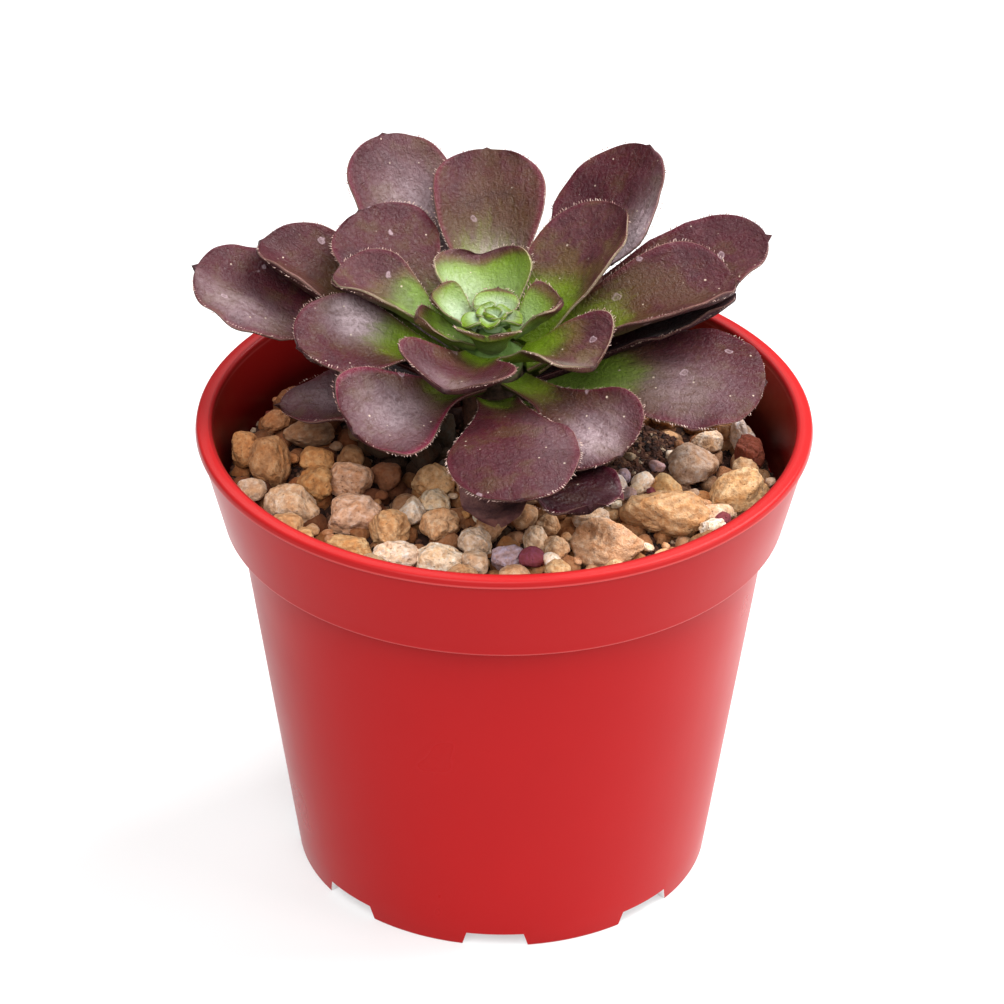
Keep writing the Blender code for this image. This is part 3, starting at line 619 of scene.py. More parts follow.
def broken_stone(way, seed, detail):
    """A stone with weathered facets, lumps and pits, half a unit long each way, and its hollows."""
    draw = np.random.default_rng(seed)
    planes = draw.normal(size=(13, 3))
    planes /= np.linalg.norm(planes, axis=1)[:, None]
    depths = draw.uniform(0.64, 1.0, 13)
    press = np.clip(way @ planes.T, 0.0, None) / depths
    radius = (1.0 + (press ** 16).sum(axis=1)) ** (-1.0 / 16.0)
    radius += 0.040 * waves(way, seed + 1, 1.1)
    relief = np.zeros(len(way))
    if detail >= 4:
        relief += 0.026 * waves(way, seed + 2, 0.50)
        relief -= 0.016 * np.clip(1.0 - np.abs(waves(way, seed + 6, 0.75)) / 0.14, 0.0, 1.0)
        relief -= 0.030 * np.clip(waves(way, seed + 3, 0.36, 12) - 0.6, 0.0, 1.2)
    if detail >= 5:
        relief += 0.013 * waves(way, seed + 4, 0.23, 12)
        relief -= 0.028 * np.clip(waves(way, seed + 5, 0.20, 14) - 0.8, 0.0, 1.2)
    body = way * (radius + relief)[:, None]
    low = body.min(axis=0)
    high = body.max(axis=0)
    body = (body - (low + high) / 2.0) / ((high - low) / 2.0)
    return body, np.clip(-relief / 0.035, 0.0, 1.0)


def stone_finish():
    """Each stone's own tone with rusty and pale patches and dark grains, and painted shade in its
    hollows and open pits.
    """
    skin = Finish("gravel_stones")
    place = skin.here()
    patch = skin.noise(place, 380.0, 3.0, 0.6)
    lump = skin.noise(place, 1150.0, 3.0, 0.65)
    grain = skin.noise(place, 2900.0, 2.0, 0.7)
    away, lot = skin.cells(place, 1250.0)
    pit = skin.times(skin.remap(away, 0.10, 0.26, 1.0, 0.0, True),
                     skin.calc("GREATER_THAN", lot, 0.62))
    rusty = skin.mix(skin.remap(patch, 0.40, 0.66, 0.0, 0.85), skin.own("stone_tone", "Color"),
                     (0.90, 0.70, 0.50), "MULTIPLY")
    pale = skin.mix(skin.remap(lump, 0.48, 0.66, 0.0, 0.80), rusty, (1.14, 1.42, 1.80), "MULTIPLY")
    # painted shade: the hollows between the lumps, the deep hollows of the stone and its open pits
    # are painted darker
    lump_hollow_shade = skin.mix(skin.remap(lump, 0.32, 0.46, 0.34, 0.0), pale, (0.40, 0.30, 0.22),
                       "MULTIPLY")
    grainy = skin.mix(skin.remap(grain, 0.30, 0.46, 0.28, 0.0), lump_hollow_shade, (0.140, 0.050, 0.020))
    worn_margin_and_hollow_shade = skin.mix(skin.times(skin.own("stone_hollow"), 0.36), grainy, (0.105, 0.034, 0.013))
    pit_shade = skin.mix(skin.times(pit, 0.35), worn_margin_and_hollow_shade, (0.070, 0.022, 0.009))
    rough = skin.calc("SUBTRACT", skin.calc("ADD", grain, skin.times(lump, 1.8)), pit)
    skin.bump(rough, 0.00028, 0.75)
    return skin.close(pit_shade, 0.85, 0.28)


def store(mesh, label, values, kind="FLOAT"):
    """Writes one number, vector or colour for each point of the mesh."""
    field = {"FLOAT": "value", "FLOAT_VECTOR": "vector", "FLOAT_COLOR": "color"}[kind]
    layer = mesh.attributes.new(label, kind, "POINT")
    layer.data.foreach_set(field, np.asarray(values, dtype=np.float32).ravel())


def stone_colour(x, y, tone, rng, tone_scale):
    """The stone's tone, with painted shade at the left and under the rosette."""
    weights = BACK_LEFT_WEIGHTS if x < -0.018 and y > -0.010 else TONE_WEIGHTS
    tone = tone or rng.choices(SEEDED_TONES, weights)[0]
    colour = np.array(STONE_TONES[tone]) * rng.uniform(0.88, 1.08) * np.array(tone_scale)
    # painted shade: darker to the left and under the rosette, where the leaves shade the gravel
    painted_shade = smooth_step((-x - 0.006) / 0.020) * (0.5 + 0.5 * smooth_step((y + 0.024) / 0.020))
    colour *= 1.0 - painted_shade * np.array(LEFT_SHADE_LOSS)
    rosette_shade = smooth_step((y + 0.004) / 0.008)
    rosette_shade *= 1.0 - smooth_step((math.hypot(x - STEM_X, y - STEM_Y) - 0.020) / 0.008)
    colour *= 1.0 - SHADE_LOSS * rosette_shade
    colour *= np.array([1.0, rng.uniform(0.95, 1.05), rng.uniform(0.90, 1.08)])
    return np.append(colour, 1.0)


stone_skin = stone_finish()


def lay_stones(name, stones, seed, detail, sunk, tone_scale=1.06):
    """One piece of many stones, their middles sunk so far under the gravel's level."""
    ball = bmesh.new()
    bmesh.ops.create_icosphere(ball, subdivisions=detail, radius=1.0)
    way = np.array([v.co[:] for v in ball.verts])
    faces = np.array([[v.index for v in f.verts] for f in ball.faces])
    ball.free()
    rng = random.Random(seed)
    points = []
    colours = []
    hollows = []
    for number, (x, y, long_r, wide_r, high_r, turn, tone) in enumerate(stones):
        body, hollow = broken_stone(way, 1000 * seed + 10 * number, detail)
        lean = Matrix.Rotation(rng.uniform(-LEAN, LEAN), 3, "X")
        spin = Matrix.Rotation(math.radians(turn), 3, "Z")
        body = (body * np.array([long_r, wide_r, high_r])) @ np.array(spin @ lean).T
        body += np.array([x, y, gravel_level(x, y) + PROUD * high_r - sunk])
        body[:, 2] = np.maximum(body[:, 2], GRAVEL_FOOT + 0.0002)
        points.append(body)
        colours.append(np.tile(stone_colour(x, y, tone, rng, tone_scale), (len(way), 1)))
        hollows.append(hollow)
    skin = [face for k in range(len(stones)) for face in (faces + k * len(way)).tolist()]
    piece = object_from(name, np.vstack(points), (), skin)
    store(piece.data, "stone_tone", np.vstack(colours), "FLOAT_COLOR")
    store(piece.data, "stone_hollow", np.concatenate(hollows))
    piece.data.materials.append(stone_skin)
    piece.data.shade_smooth()
    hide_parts("gravel")
    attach(piece, "root")


lay_stones("gravel_stones", chosen, 31, 5, 0.0)
lay_stones("gravel_fill", seeded, 32, 4, 0.0)
# the lower layer's tone is scaled down as painted shade in the gaps between the stones above it
lay_stones("gravel_lower_layer", lower, 33, 3, 0.0030, (0.52, 0.38, 0.29))
lay_stones("gravel_chips", chips, 34, 2, 0.0008, (0.95, 0.85, 0.80))
lay_stones("gravel_top_chips", top_chips, 35, 3, -0.0012, 1.1)


# the bed under the stones: fine dark grit with the stem's hole in it, heaped where it is bare
def bed_ring(middle_x, middle_y, radius, height_at):
    """A ring of points about x, y at the height that height_at gives for each of them."""
    ring = []
    for k in range(BED_SIDES):
        a = 2.0 * math.pi * k / BED_SIDES
        x = middle_x + radius * math.cos(a)
        y = middle_y + radius * math.sin(a)
        ring.append((x, y, height_at(x, y)))
    return ring


def bed_top(x, y):
    return gravel_level(x, y) - BED_SUNK


def heaped_top(x, y):
    return bed_top(x, y) + (BED_SUNK + 0.0006) * smooth_step(2.0 * bareness(x, y))


def bed_foot(x, y):
    return GRAVEL_FOOT


hole_r = STEM_HOLE_R + 0.0004
bed_rings = [(GRAVEL_R, bed_foot), (GRAVEL_R + 0.0008, heaped_top)]
bed_rings += [(GRAVEL_R - 0.0010 * k, heaped_top) for k in range(41)]
bed_points = []
for radius, height_at in bed_rings:
    inward = 1.0 - max(0.0, (radius - 0.0062) / (GRAVEL_R - 0.0062))
    bed_points += bed_ring(inward * STEM_X, inward * STEM_Y, radius, height_at)
bed_points += bed_ring(STEM_X, STEM_Y, hole_r, bed_top) + bed_ring(STEM_X, STEM_Y, hole_r, bed_foot)
bed_points = np.array(bed_points)
top = slice(2 * BED_SIDES, len(bed_points) - 2 * BED_SIDES)
bed_points[top, 2] += 0.00035 * waves(bed_points[top], 71, 0.0060)
bed_points[top, 2] += 0.00022 * waves(bed_points[top], 72, 0.0022)
ring_count = len(bed_points) // BED_SIDES
bed_faces = []
for ring in range(ring_count):
    here = ring * BED_SIDES
    there = (ring + 1) % ring_count * BED_SIDES
    for k in range(BED_SIDES):
        n = (k + 1) % BED_SIDES
        bed_faces.append((here + k, here + n, there + n, there + k))
bed = object_from("gravel_bed", bed_points, (), bed_faces)
bed.data.materials.append(dark_mix)
point_outwards(bed)
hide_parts("gravel")
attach(bed, "root")


def scatter_tree():
    """Scatters crumbs over the upward faces of the input mesh."""
    work, given = new_tree("crumbs", ground="Geometry", crumbs_per_square_metre="Float",
                           smallest="Float", largest="Float", seed="Int", finish="Material")
    normal = work.put("GeometryNodeInputNormal").outputs[0]
    upward = work.calc("GREATER_THAN", work.parts(normal)[2], 0.5)
    points = work.put("GeometryNodeDistributePointsOnFaces", {
        "Mesh": given["Ground"], "Density": given["Crumbs per square metre"],
        "Seed": given["Seed"], "Selection": upward})
    crumb = work.put("GeometryNodeMeshIcoSphere", {"Radius": 1.0, "Subdivisions": 1})
    scale = work.put("FunctionNodeRandomValue", {0: given["Smallest"], 1: given["Largest"]},
                     data_type="FLOAT_VECTOR")
    turn = work.put("FunctionNodeRandomValue", {1: (2.0 * math.pi,) * 3, "Seed": 3},
                    data_type="FLOAT_VECTOR")
    copies = work.put("GeometryNodeInstanceOnPoints", {
        "Points": points.outputs["Points"], "Instance": crumb.outputs["Mesh"],
        "Rotation": turn.outputs[0], "Scale": scale.outputs[0]})
    lot = work.put("FunctionNodeRandomValue", {"Seed": 9}, data_type="FLOAT")
    marked = work.put("GeometryNodeStoreNamedAttribute", {
        "Geometry": copies.outputs[0], "Name": "crumb_shade", "Value": lot.outputs[1]},
        data_type="FLOAT", domain="INSTANCE")
    return work.end(marked.outputs[0], given["Finish"])


def crumb_finish():
    """Mostly near-black peat, with a few brown crumbs and fewer pale ones."""
    skin = Finish("mix_crumbs")
    colour = skin.ramp(skin.own("crumb_shade"), [
        (0.0, (0.010, 0.005, 0.004)), (0.45, (0.044, 0.014, 0.008)),
        (0.80, (0.090, 0.034, 0.018)), (0.95, (0.15, 0.080, 0.045)), (1.0, (0.36, 0.26, 0.18))])
    skin.bump(skin.noise(skin.here(), 2500.0, 3.0), 0.0003)
    return skin.close(colour, 0.9, 0.25)


scatter = scatter_tree()
crumb_skin = crumb_finish()
crumbs = object_from("mix_crumbs")
crumbs.data = bed.data.copy()
grow(crumbs, scatter, crumbs_per_square_metre=700000.0, smallest=0.00025, largest=0.00090,
     seed=4, finish=crumb_skin)
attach(crumbs, "root")

# more and coarser crumbs lie on the bare patch
bare = bmesh.new()
bare.from_mesh(bed.data)
outside = [f for f in bare.faces
           if bareness(*f.calc_center_median()[:2]) < 0.02 or f.normal.z < 0.5]
bmesh.ops.delete(bare, geom=outside, context="FACES")
heap_crumbs = object_of("bare_patch_crumbs", bare)
grow(heap_crumbs, scatter, crumbs_per_square_metre=5200000.0, smallest=0.00030,
     largest=0.00105, seed=9, finish=crumb_skin)
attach(heap_crumbs, "root")


# Stem
# A short woody column, 10 mm thick, dark brown and ringed by the scars of fallen leaves. It
# grows out of the compost and carries every leaf; its top hides under the crown.

STEM_FOOT = 0.0574
STEM_TOP = 0.1007
BARK_R = 0.0047
SCAR_SPACING = 0.0030
SCAR_DEPTH = 0.00022
SCARS_START = 0.0700
BARK_START = 0.0695
BARK_STEP = 0.00029
BARK_RINGS = 48

bark_profile = [(0.0, STEM_FOOT), (0.0040, STEM_FOOT), (BARK_R, STEM_FOOT + 0.0010)]
for k in range(BARK_RINGS):
    z = BARK_START + BARK_STEP * k
    scar = SCAR_DEPTH * abs(math.sin(math.pi * (z - SCARS_START) / SCAR_SPACING)) ** 0.6
    bark_profile.append((BARK_R + scar, z))
bark_profile += [(0.0052, 0.0850), (0.0052, 0.0910), (0.0051, 0.0962), (0.0034, 0.0970),
                 (0.0029, 0.0989), (0.0022, STEM_TOP - 0.0003), (0.0017, STEM_TOP),
                 (0.0, STEM_TOP)]


def bark_finish():
    """Flaky dark bark, still green at the young end of the stem among the leaves."""
    skin = Finish("stem_bark")
    place = skin.here()
    flake = skin.noise(place, 900.0, 5.0, 0.65)
    woody = skin.mix(skin.remap(flake, 0.35, 0.68, 0.0, 1.0), (0.030, 0.013, 0.009),
                     (0.120, 0.062, 0.038))
    young_end = skin.remap(skin.parts(place)[2], 0.0925, 0.0965, 0.0, 1.0, True)
    skin.bump(flake, 0.0005)
    return skin.close(skin.mix(young_end, woody, (0.085, 0.160, 0.022)), 0.7)


stem = turned("woody_stem", bark_profile, 72, bark_finish(), STEM_X, STEM_Y)
point_outwards(stem)
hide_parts("stem")
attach(stem, "root")


# Leaves
# Fleshy spoon-shaped blades, up to 1.5 mm thick on the midrib, that fan out from the stem.
# The old ones are wine purple, some with a crimson margin, some with a painted pale sheen as
# highlight, and the young ones turn green from the base up. Each clasps the stem with its narrow
# root.

EDGE_THICKNESS = 0.0005
STALK_ROWS = 17
END_ROWS = 20
POINTS_ACROSS = 17
NO_PAINTED_SHEEN = (0.0, 0.7, 0.0, 0.2, 0.5)
LEAF_GREENS = [(0.0, (0.115, 0.185, 0.008)), (0.22, (0.100, 0.140, 0.009)),
               (0.46, (0.078, 0.072, 0.012))]
HEART_GREEN = (0.245, 0.325, 0.185)
SHADOW_PURPLE = (0.026, 0.006, 0.009)
WRINKLE_TONE = (0.300, 0.170, 0.160)
CRIMSON = (0.115, 0.008, 0.026)
UNDER_TONE = (0.022, 0.007, 0.009)
GRIT_TONE = (0.52, 0.42, 0.33)
DROP_TONE = (0.38, 0.27, 0.30)
PURPLE_SHEEN = (0.430, 0.330, 0.350)
GREEN_SHEEN = (0.400, 0.450, 0.340)


def leaf_half_width(s, width, shoulder, waist, swell, square):
    body = waist + (1.0 - waist) * smooth_step(s / shoulder) ** swell
    past = np.clip((s - shoulder) / (1.0 - shoulder), 0.0, 1.0)
    end = np.sqrt(np.clip(1.0 - past ** square, 0.0, 1.0))
    return width / 2.0 * np.where(s < shoulder, body, end)


def blade(seed, turn, reach, tip_z, width, root_z, lift, fold=(30, 25, 15), roll=0.0,
          sway=0.0, waist=0.27, shoulder=0.76, swell=2.8, square=2.3, root_r=0.0055,
          mucro=0.0004, crease=6.0, thick=(0.0015, 0.0010), rows=(STALK_ROWS, END_ROWS),
          across_count=POINTS_ACROSS, swells=1.0, notch=0.0, green=0.0, soft=0.3):
    """Rings of points round a leaf from its root to its tip, and what its finish needs.

    turn: compass angle of the tip about the stem, 0 is right and 90 is the back.
    reach, tip_z: the tip's distance from the stem's axis and its height.
    root_r, root_z: the same for the root; lift: rise of the midrib at the root in degrees.
    fold: how far each half turns up at root, middle and tip; crease: sharpness of the midrib.
    roll: turn about the midrib in degrees; sway: how far the leaf bends sideways.
    waist, shoulder, swell, square: the outline's stalk width, widest place and curves.
    mucro: length of the point at the tip; notch: how far the tip is drawn back between lobes.
    green: share of the length where green gives way to purple, over the share in soft.
    """
    a = math.radians(turn)
    out = np.array([math.cos(a), math.sin(a), 0.0])
    across = np.array([-math.sin(a), math.cos(a), 0.0])
    up = np.array([0.0, 0.0, 1.0])
    axis = np.array([STEM_X, STEM_Y, 0.0])
    start = axis + out * root_r + up * root_z
    end = axis + out * reach + up * tip_z
    run = (reach - root_r) * 0.5
    bend = start + out * run + up * run * math.tan(math.radians(lift)) + across * sway

    stalk = np.linspace(0.0, shoulder, rows[0] + 1)[:-1]
    s = np.concatenate([stalk, shoulder + (1.0 - shoulder)
                        * np.sin(np.linspace(0.0, math.pi / 2, rows[1] + 1))])
    count = len(s)
    t = s[:, None]
    rib = (1 - t) ** 2 * start + 2 * t * (1 - t) * bend + t ** 2 * end
    along = 2 * (1 - t) * (bend - start) + 2 * t * (end - bend)
    along /= np.linalg.norm(along, axis=1)[:, None]
    flat = along * np.array([1.0, 1.0, 0.0])
    flat /= np.linalg.norm(flat, axis=1)[:, None]
    side = np.stack([flat[:, 1], -flat[:, 0], np.zeros(count)], axis=1)
    top = np.cross(side, along)
    tilt = np.radians(roll * smooth_step(s * 1.6))[:, None]
    side, top = side * np.cos(tilt) + top * np.sin(tilt), top * np.cos(tilt) - side * np.sin(tilt)

    half = leaf_half_width(s, width, shoulder, waist, swell, square)
    bow = np.radians(np.interp(s, [0.0, 0.5, 1.0], fold))
    bow = np.where(np.abs(bow) < 0.001, 0.001, bow)
    ridge = math.radians(crease) * smooth_step(s / 0.4) * smooth_step((1.25 - s) / 0.5)
    core = thick[0] + (thick[1] - thick[0]) * s
    length = float(np.linalg.norm(np.diff(rib, axis=0), axis=1).sum())

    points = []
    marks = []
    edges = []
    for i in range(count - 1):
        w = half[i]
        rim = min(EDGE_THICKNESS / 2.0, 0.45 * w)
        inner = [(v * (w - rim) / w, 0.0) for v in np.linspace(-1.0, 1.0, across_count)]
        right = [((w - rim + rim * math.sin(p)) / w, rim * (1.0 - math.cos(p)))
                 for p in (0.55, 1.08)]
        left = [(-u, sunk) for u, sunk in reversed(right)]
        upper = left + inner + right
        ring = [(-1.0, rim, 0)] + [(u, sunk, 1) for u, sunk in upper]
        ring += [(1.0, rim, 0)] + [(u, sunk, -1) for u, sunk in reversed(upper)]
        for u, sunk, face in ring:
            angle = ridge[i] + bow[i] * abs(u)
            sign = np.sign(u)
            x = w * (math.sin(angle) - math.sin(ridge[i])) / bow[i] * sign
            z = w * (math.cos(ridge[i]) - math.cos(angle)) / bow[i]
            normal = top[i] * math.cos(angle) - side[i] * math.sin(angle) * sign
            depth = 2.0 * rim + (core[i] - 2.0 * rim) * (1.0 - u * u)
            dent = notch * smooth_step((s[i] - 0.6) / 0.4) * math.exp(-(x / (0.16 * width)) ** 2)
            place = rib[i] + side[i] * x + top[i] * z - along[i] * dent
            place = place - normal * (sunk if face >= 0 else depth - sunk)
            points.append((*place, *normal))
            marks.append((u * w, s[i] * length, u, s[i], face))
            if face == 0:
                edges.append((sign, i, place, side[i] * math.cos(angle) * sign
                              + top[i] * math.sin(angle), along[i]))
    tip = rib[-1] + along[-1] * (mucro - notch) - top[-1] * EDGE_THICKNESS * 0.4
    points.append((*tip, *top[-1]))
    marks.append((0.0, length, 0.0, 1.0, 0))
    points = np.array(points)
    marks = np.array(marks)
    normal = points[:, 3:]
    points = points[:, :3]
    # the blade swells and dips a little, most along its margin
    free = swells * smooth_step((marks[:, 3] - 0.15) / 0.5)
    rise = 0.00026 * waves(points, seed, 0.0130) + 0.00010 * waves(points, seed + 1, 0.0048)
    rise += 0.00042 * np.abs(marks[:, 2]) ** 4 * waves(points, seed + 2, 0.0085)
    points = points + normal * (free * rise)[:, None]

    size = 2 * (across_count + 4) + 2
    faces = [(i * size + k, i * size + (k + 1) % size, (i + 1) * size + (k + 1) % size,
              (i + 1) * size + k) for i in range(count - 2) for k in range(size)]
    last = (count - 2) * size
    faces += [(last + k, last + (k + 1) % size, len(points) - 1) for k in range(size)]
    # the root is closed by a strip between its upper and lower halves
    faces.append((1, 0, size - 1))
    faces += [(k + 1, k, size - k, size - 1 - k) for k in range(1, size // 2 - 1)]
    faces.append((size // 2, size // 2 - 1, size // 2 + 1))

    # ripe runs from 0 at green to 1 at purple
    wander = waves(points, seed + 3, 0.0110)
    where = marks[:, 3] + 0.16 * np.abs(marks[:, 2]) ** 3 + 0.045 * wander
    ripe = smooth_step((where - green + 0.5 * soft) / soft) if green > 0 else np.ones(len(points))
    ripe = np.where(marks[:, 4] < 0, 0.88 * ripe, ripe)
    path = [edge[1:] for edge in edges if edge[0] < 0]
    path.append((count - 1, tip, along[-1], along[-1]))
    path += [edge[1:] for edge in reversed(edges) if edge[0] > 0]
    return points, faces, marks, ripe, path


def leaf_finish(name, purple, olive, under_dark=0.55, sheen_tone=PURPLE_SHEEN,
                worn_edge=(0.260, 0.140, 0.110)):
    """Green to purple by the ripe attribute, with wrinkles, a painted sheen, specks and drop marks.
    """
    skin = Finish(name)
    ripe = skin.own("ripe")
    edge = skin.own("edge")
    under = skin.own("under")
    place = skin.own("leaf_place", "Vector")
    pebble = skin.noise(place, 1300.0, 3.0, 0.6, 0.6)
    drawn_out = skin.put("ShaderNodeVectorMath", {0: place, 1: (1.6, 0.6, 1.0)},
                         operation="MULTIPLY").outputs[0]
    mottle = skin.noise(drawn_out, 420.0, 4.0, 0.65)
    cloud = skin.noise(place, 150.0, 3.0, 0.6)
    worm = skin.calc("SUBTRACT", skin.noise(place, 520.0, 2.0, 0.5, 1.4), 0.5)
    wrinkle = skin.remap(skin.calc("ABSOLUTE", worm), 0.0, 0.035, 1.0, 0.0, True)

    wobble = skin.times(skin.calc("SUBTRACT", mottle, 0.5), 0.50)
    between = tuple(0.5 * (p + q) for p, q in zip(purple, olive))
    grown = skin.ramp(skin.calc("ADD", ripe, wobble),
                      LEAF_GREENS + [(0.62, olive), (0.82, between), (1.0, purple)])
    heart = skin.mix(skin.own("pale"), grown, HEART_GREEN)
    brown = skin.times(ripe, skin.remap(cloud, 0.48, 0.66, 0.0, 0.60, True))
    patchy = skin.mix(brown, heart, olive)
    deep = skin.mix(skin.remap(cloud, 0.34, 0.52, 0.42, 0.0, True), patchy, SHADOW_PURPLE)
    # painted highlight: a pale sheen is painted at a given place on some leaves, broken up by the
    # skin's relief
    painted_sheen = skin.times(skin.own("painted_sheen"), skin.remap(pebble, 0.34, 0.60, 0.62, 1.0, True))
    painted_sheen = skin.times(painted_sheen, skin.remap(mottle, 0.32, 0.56, 0.60, 1.0, True))
    meal_and_sheen = skin.calc("MAXIMUM", painted_sheen, skin.remap(pebble, 0.54, 0.76, 0.0, 0.03, True))
    lined = skin.mix(skin.times(wrinkle, 0.05), skin.mix(meal_and_sheen, deep, sheen_tone), WRINKLE_TONE)
    # crimson cells run round the margin, and its very edge is pale from wear
    rim = skin.times(skin.remap(edge, 0.84, 0.99, 0.0, 0.80, True), skin.own("crimson"))
    worn_margin_and_hollow_shade = skin.mix(skin.remap(edge, 0.986, 0.997, 0.0, 0.70), skin.mix(rim, lined, CRIMSON),
                    worn_edge)
    speckled = skin.mix(skin.times(under, under_dark), worn_margin_and_hollow_shade, UNDER_TONE)
    # specks of grit and dust
    for scale, least, size in ((330.0, 0.72, 0.085), (560.0, 0.76, 0.110)):
        away, lot = skin.cells(place, scale)
        speck = skin.times(skin.remap(away, 0.6 * size, size, 1.0, 0.0),
                           skin.calc("GREATER_THAN", lot, least))
        speckled = skin.mix(skin.times(speck, 0.75), speckled, GRIT_TONE)
    # uneven pale marks where water drops dried
    warp = skin.noise(place, 420.0, socket="Color")
    drift = skin.put("ShaderNodeVectorMath", {0: warp, 1: (0.0022, 0.0022, 0.0022), 2: place},
                     operation="MULTIPLY_ADD").outputs[0]
    away, lot = skin.cells(drift, 190.0)
    drop = skin.times(skin.remap(away, 0.140, 0.165, 1.0, 0.0),
                      skin.remap(away, 0.095, 0.140, 0.35, 1.0))
    ring = skin.times(drop, skin.times(skin.calc("GREATER_THAN", lot, 0.68), ripe))
    ringed = skin.mix(skin.times(ring, 0.62), speckled, DROP_TONE)
    # the roughness drops a little where the sheen is painted
    skin_roughness = skin.calc("SUBTRACT", skin.remap(mottle, 0.30, 0.72, 0.24, 0.40),
                     skin.times(painted_sheen, 0.12))
    first = skin.bump(mottle, 0.00060, 0.50)
    second = skin.bump(pebble, 0.00050, 0.75, first)
    third = skin.bump(wrinkle, 0.00006, 0.60, second)
    skin.bump(ring, 0.00010, 0.7, third)
    return skin.close(ringed, skin.calc("ADD", skin_roughness, skin.times(under, 0.22)), 0.15)


def leaf_object(name, blades, finish, pale=0.0, crimson=0.35, painted_sheen=NO_PAINTED_SHEEN):
    """One closed mesh, or a few, with the attributes that the leaf finish reads.

    pale, crimson: how much of the heart's green and of the crimson margin the leaf shows.
    painted sheen: how strong the painted highlight is, where it is strongest along and across, how
    far it spreads.
    """
    points = []
    faces = []
    places = []
    labels = {"ripe": [], "edge": [], "pale": [], "under": [], "crimson": [], "painted_sheen": []}
    for number, (body, skin, marks, ripe, _) in enumerate(blades):
        offset = sum(len(p) for p in points)
        points.append(body)
        faces += [[i + offset for i in f] for f in skin]
        beneath = marks[:, 4] < 0
        fade = smooth_step((0.95 - marks[:, 3]) / 0.8) * (1.0 - 0.75 * marks[:, 2] ** 2)
        away = ((marks[:, 3] - painted_sheen[1]) / painted_sheen[3]) ** 2 + ((marks[:, 2] - painted_sheen[2]) / painted_sheen[4]) ** 2
        labels["ripe"].append(ripe)
        labels["edge"].append(np.abs(marks[:, 2]))
        labels["pale"].append(pale * fade * (1.0 - ripe))
        labels["under"].append(np.where(beneath, 1.0, 0.0))
        labels["crimson"].append(np.full(len(body), crimson))
        labels["painted_sheen"].append(np.where(beneath, 0.0, painted_sheen[0] * np.exp(-away)))
        places.append(np.column_stack([marks[:, 0], marks[:, 1],
                                       np.full(len(body), 0.37 * number) + 0.01 * marks[:, 4]]))
    obj = object_from(name, np.vstack(points), (), faces)
    for label, values in labels.items():
        store(obj.data, label, np.concatenate(values))
    shift = (sum(ord(letter) for letter in name) % 97) * 0.11
    store(obj.data, "leaf_place", np.vstack(places) + np.array([shift, 0.0, shift]),
          "FLOAT_VECTOR")
    obj.data.materials.append(finish)
    point_outwards(obj, 75.0)
    return obj


purple_leaf = leaf_finish("leaf_purple", (0.050, 0.0082, 0.0128), (0.058, 0.028, 0.011))
dark_leaf = leaf_finish("leaf_purple_dark", (0.022, 0.0034, 0.0062), (0.026, 0.009, 0.005))
green_leaf = leaf_finish("leaf_green", (0.066, 0.018, 0.022), (0.086, 0.054, 0.016), 0.14,
                         GREEN_SHEEN, (0.420, 0.340, 0.220))
finishes = {"leaf_purple": purple_leaf, "leaf_purple_dark": dark_leaf, "leaf_green": green_leaf}
margins = []


def leaf(name, finish, turn, reach, tip_z, width, root_z, lift, pale=0.0, crimson=0.35,
         painted_sheen=NO_PAINTED_SHEEN, **shape):
    seed = 100 + 10 * len(margins)
    body = blade(seed, turn, reach, tip_z, width, root_z, lift, **shape)
    obj = leaf_object(name.replace("leaf_", "blade_"), [body], finishes[finish], pale, crimson,
                      painted_sheen)
    margins.append((body[4], 1.0))
    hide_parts(name)
    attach(obj, "root")


# lowest leaves; those on the far side lie behind the others
leaf("leaf_low_back_right", "leaf_purple_dark", 57, 0.0390, 0.0868, 0.0145, 0.0839, 2,
     fold=(30, 14, 4), waist=0.18, swell=3.4)
leaf("leaf_low_back", "leaf_purple_dark", 88, 0.0385, 0.0885, 0.0170, 0.0857, 4, fold=(30, 16, 6))
leaf("leaf_low_back_left", "leaf_purple_dark", 118, 0.0390, 0.0870, 0.0170, 0.0839, 5,
     fold=(30, 16, 6))
leaf("leaf_low_far_left", "leaf_purple_dark", 147, 0.0370, 0.0880, 0.0170, 0.0857, 3,
     fold=(30, 14, 4))
leaf("leaf_under_front", "leaf_purple_dark", -67, 0.0415, 0.0888, 0.0170, 0.0880, -8,
     fold=(30, 10, 0), swells=2.2)
leaf("leaf_low_left", "leaf_purple", 180, 0.0362, 0.0858, 0.0135, 0.0875, -4, fold=(30, 30, 15),
     roll=10, waist=0.36, shoulder=0.62, swell=2.0, square=1.8, mucro=0.0012, swells=1.8,
     painted_sheen=(0.30, 0.70, 0.2, 0.25, 0.6))

# outer ring, spread wide
# painted light: a small pale share lightens this leaf's green stalk where the upper right leaf
# shades it
leaf("leaf_low_right", "leaf_purple", -6, 0.0462, 0.0938, 0.0234, 0.0882, 20, fold=(30, -4, -12),
     roll=-14, waist=0.56, swell=2.0, crease=2, green=0.50, soft=0.40, pale=0.12, crimson=0.3,
     painted_sheen=(0.30, 0.66, 0.25, 0.20, 0.60))
leaf("leaf_back_right", "leaf_purple", 51, 0.0425, 0.1185, 0.0215, 0.0885, 24, fold=(30, 15, 5),
     sway=0.0036, waist=0.18, shoulder=0.74, swell=5.0, square=2.3,
     painted_sheen=(1.30, 0.66, 0.85, 0.18, 0.40))
leaf("leaf_under_right", "leaf_purple_dark", 12, 0.0418, 0.1032, 0.0150, 0.0906, 13,
     fold=(30, 25, 20), roll=6, waist=0.16, swell=3.6, crease=5)
leaf("leaf_back_left", "leaf_purple", 117, 0.0425, 0.1180, 0.0204, 0.0902, 24, fold=(30, 15, 5),
     waist=0.25, square=2.9, green=0.22, soft=0.20, crimson=0.5, painted_sheen=(0.58, 0.64, 0.1, 0.22, 0.60))
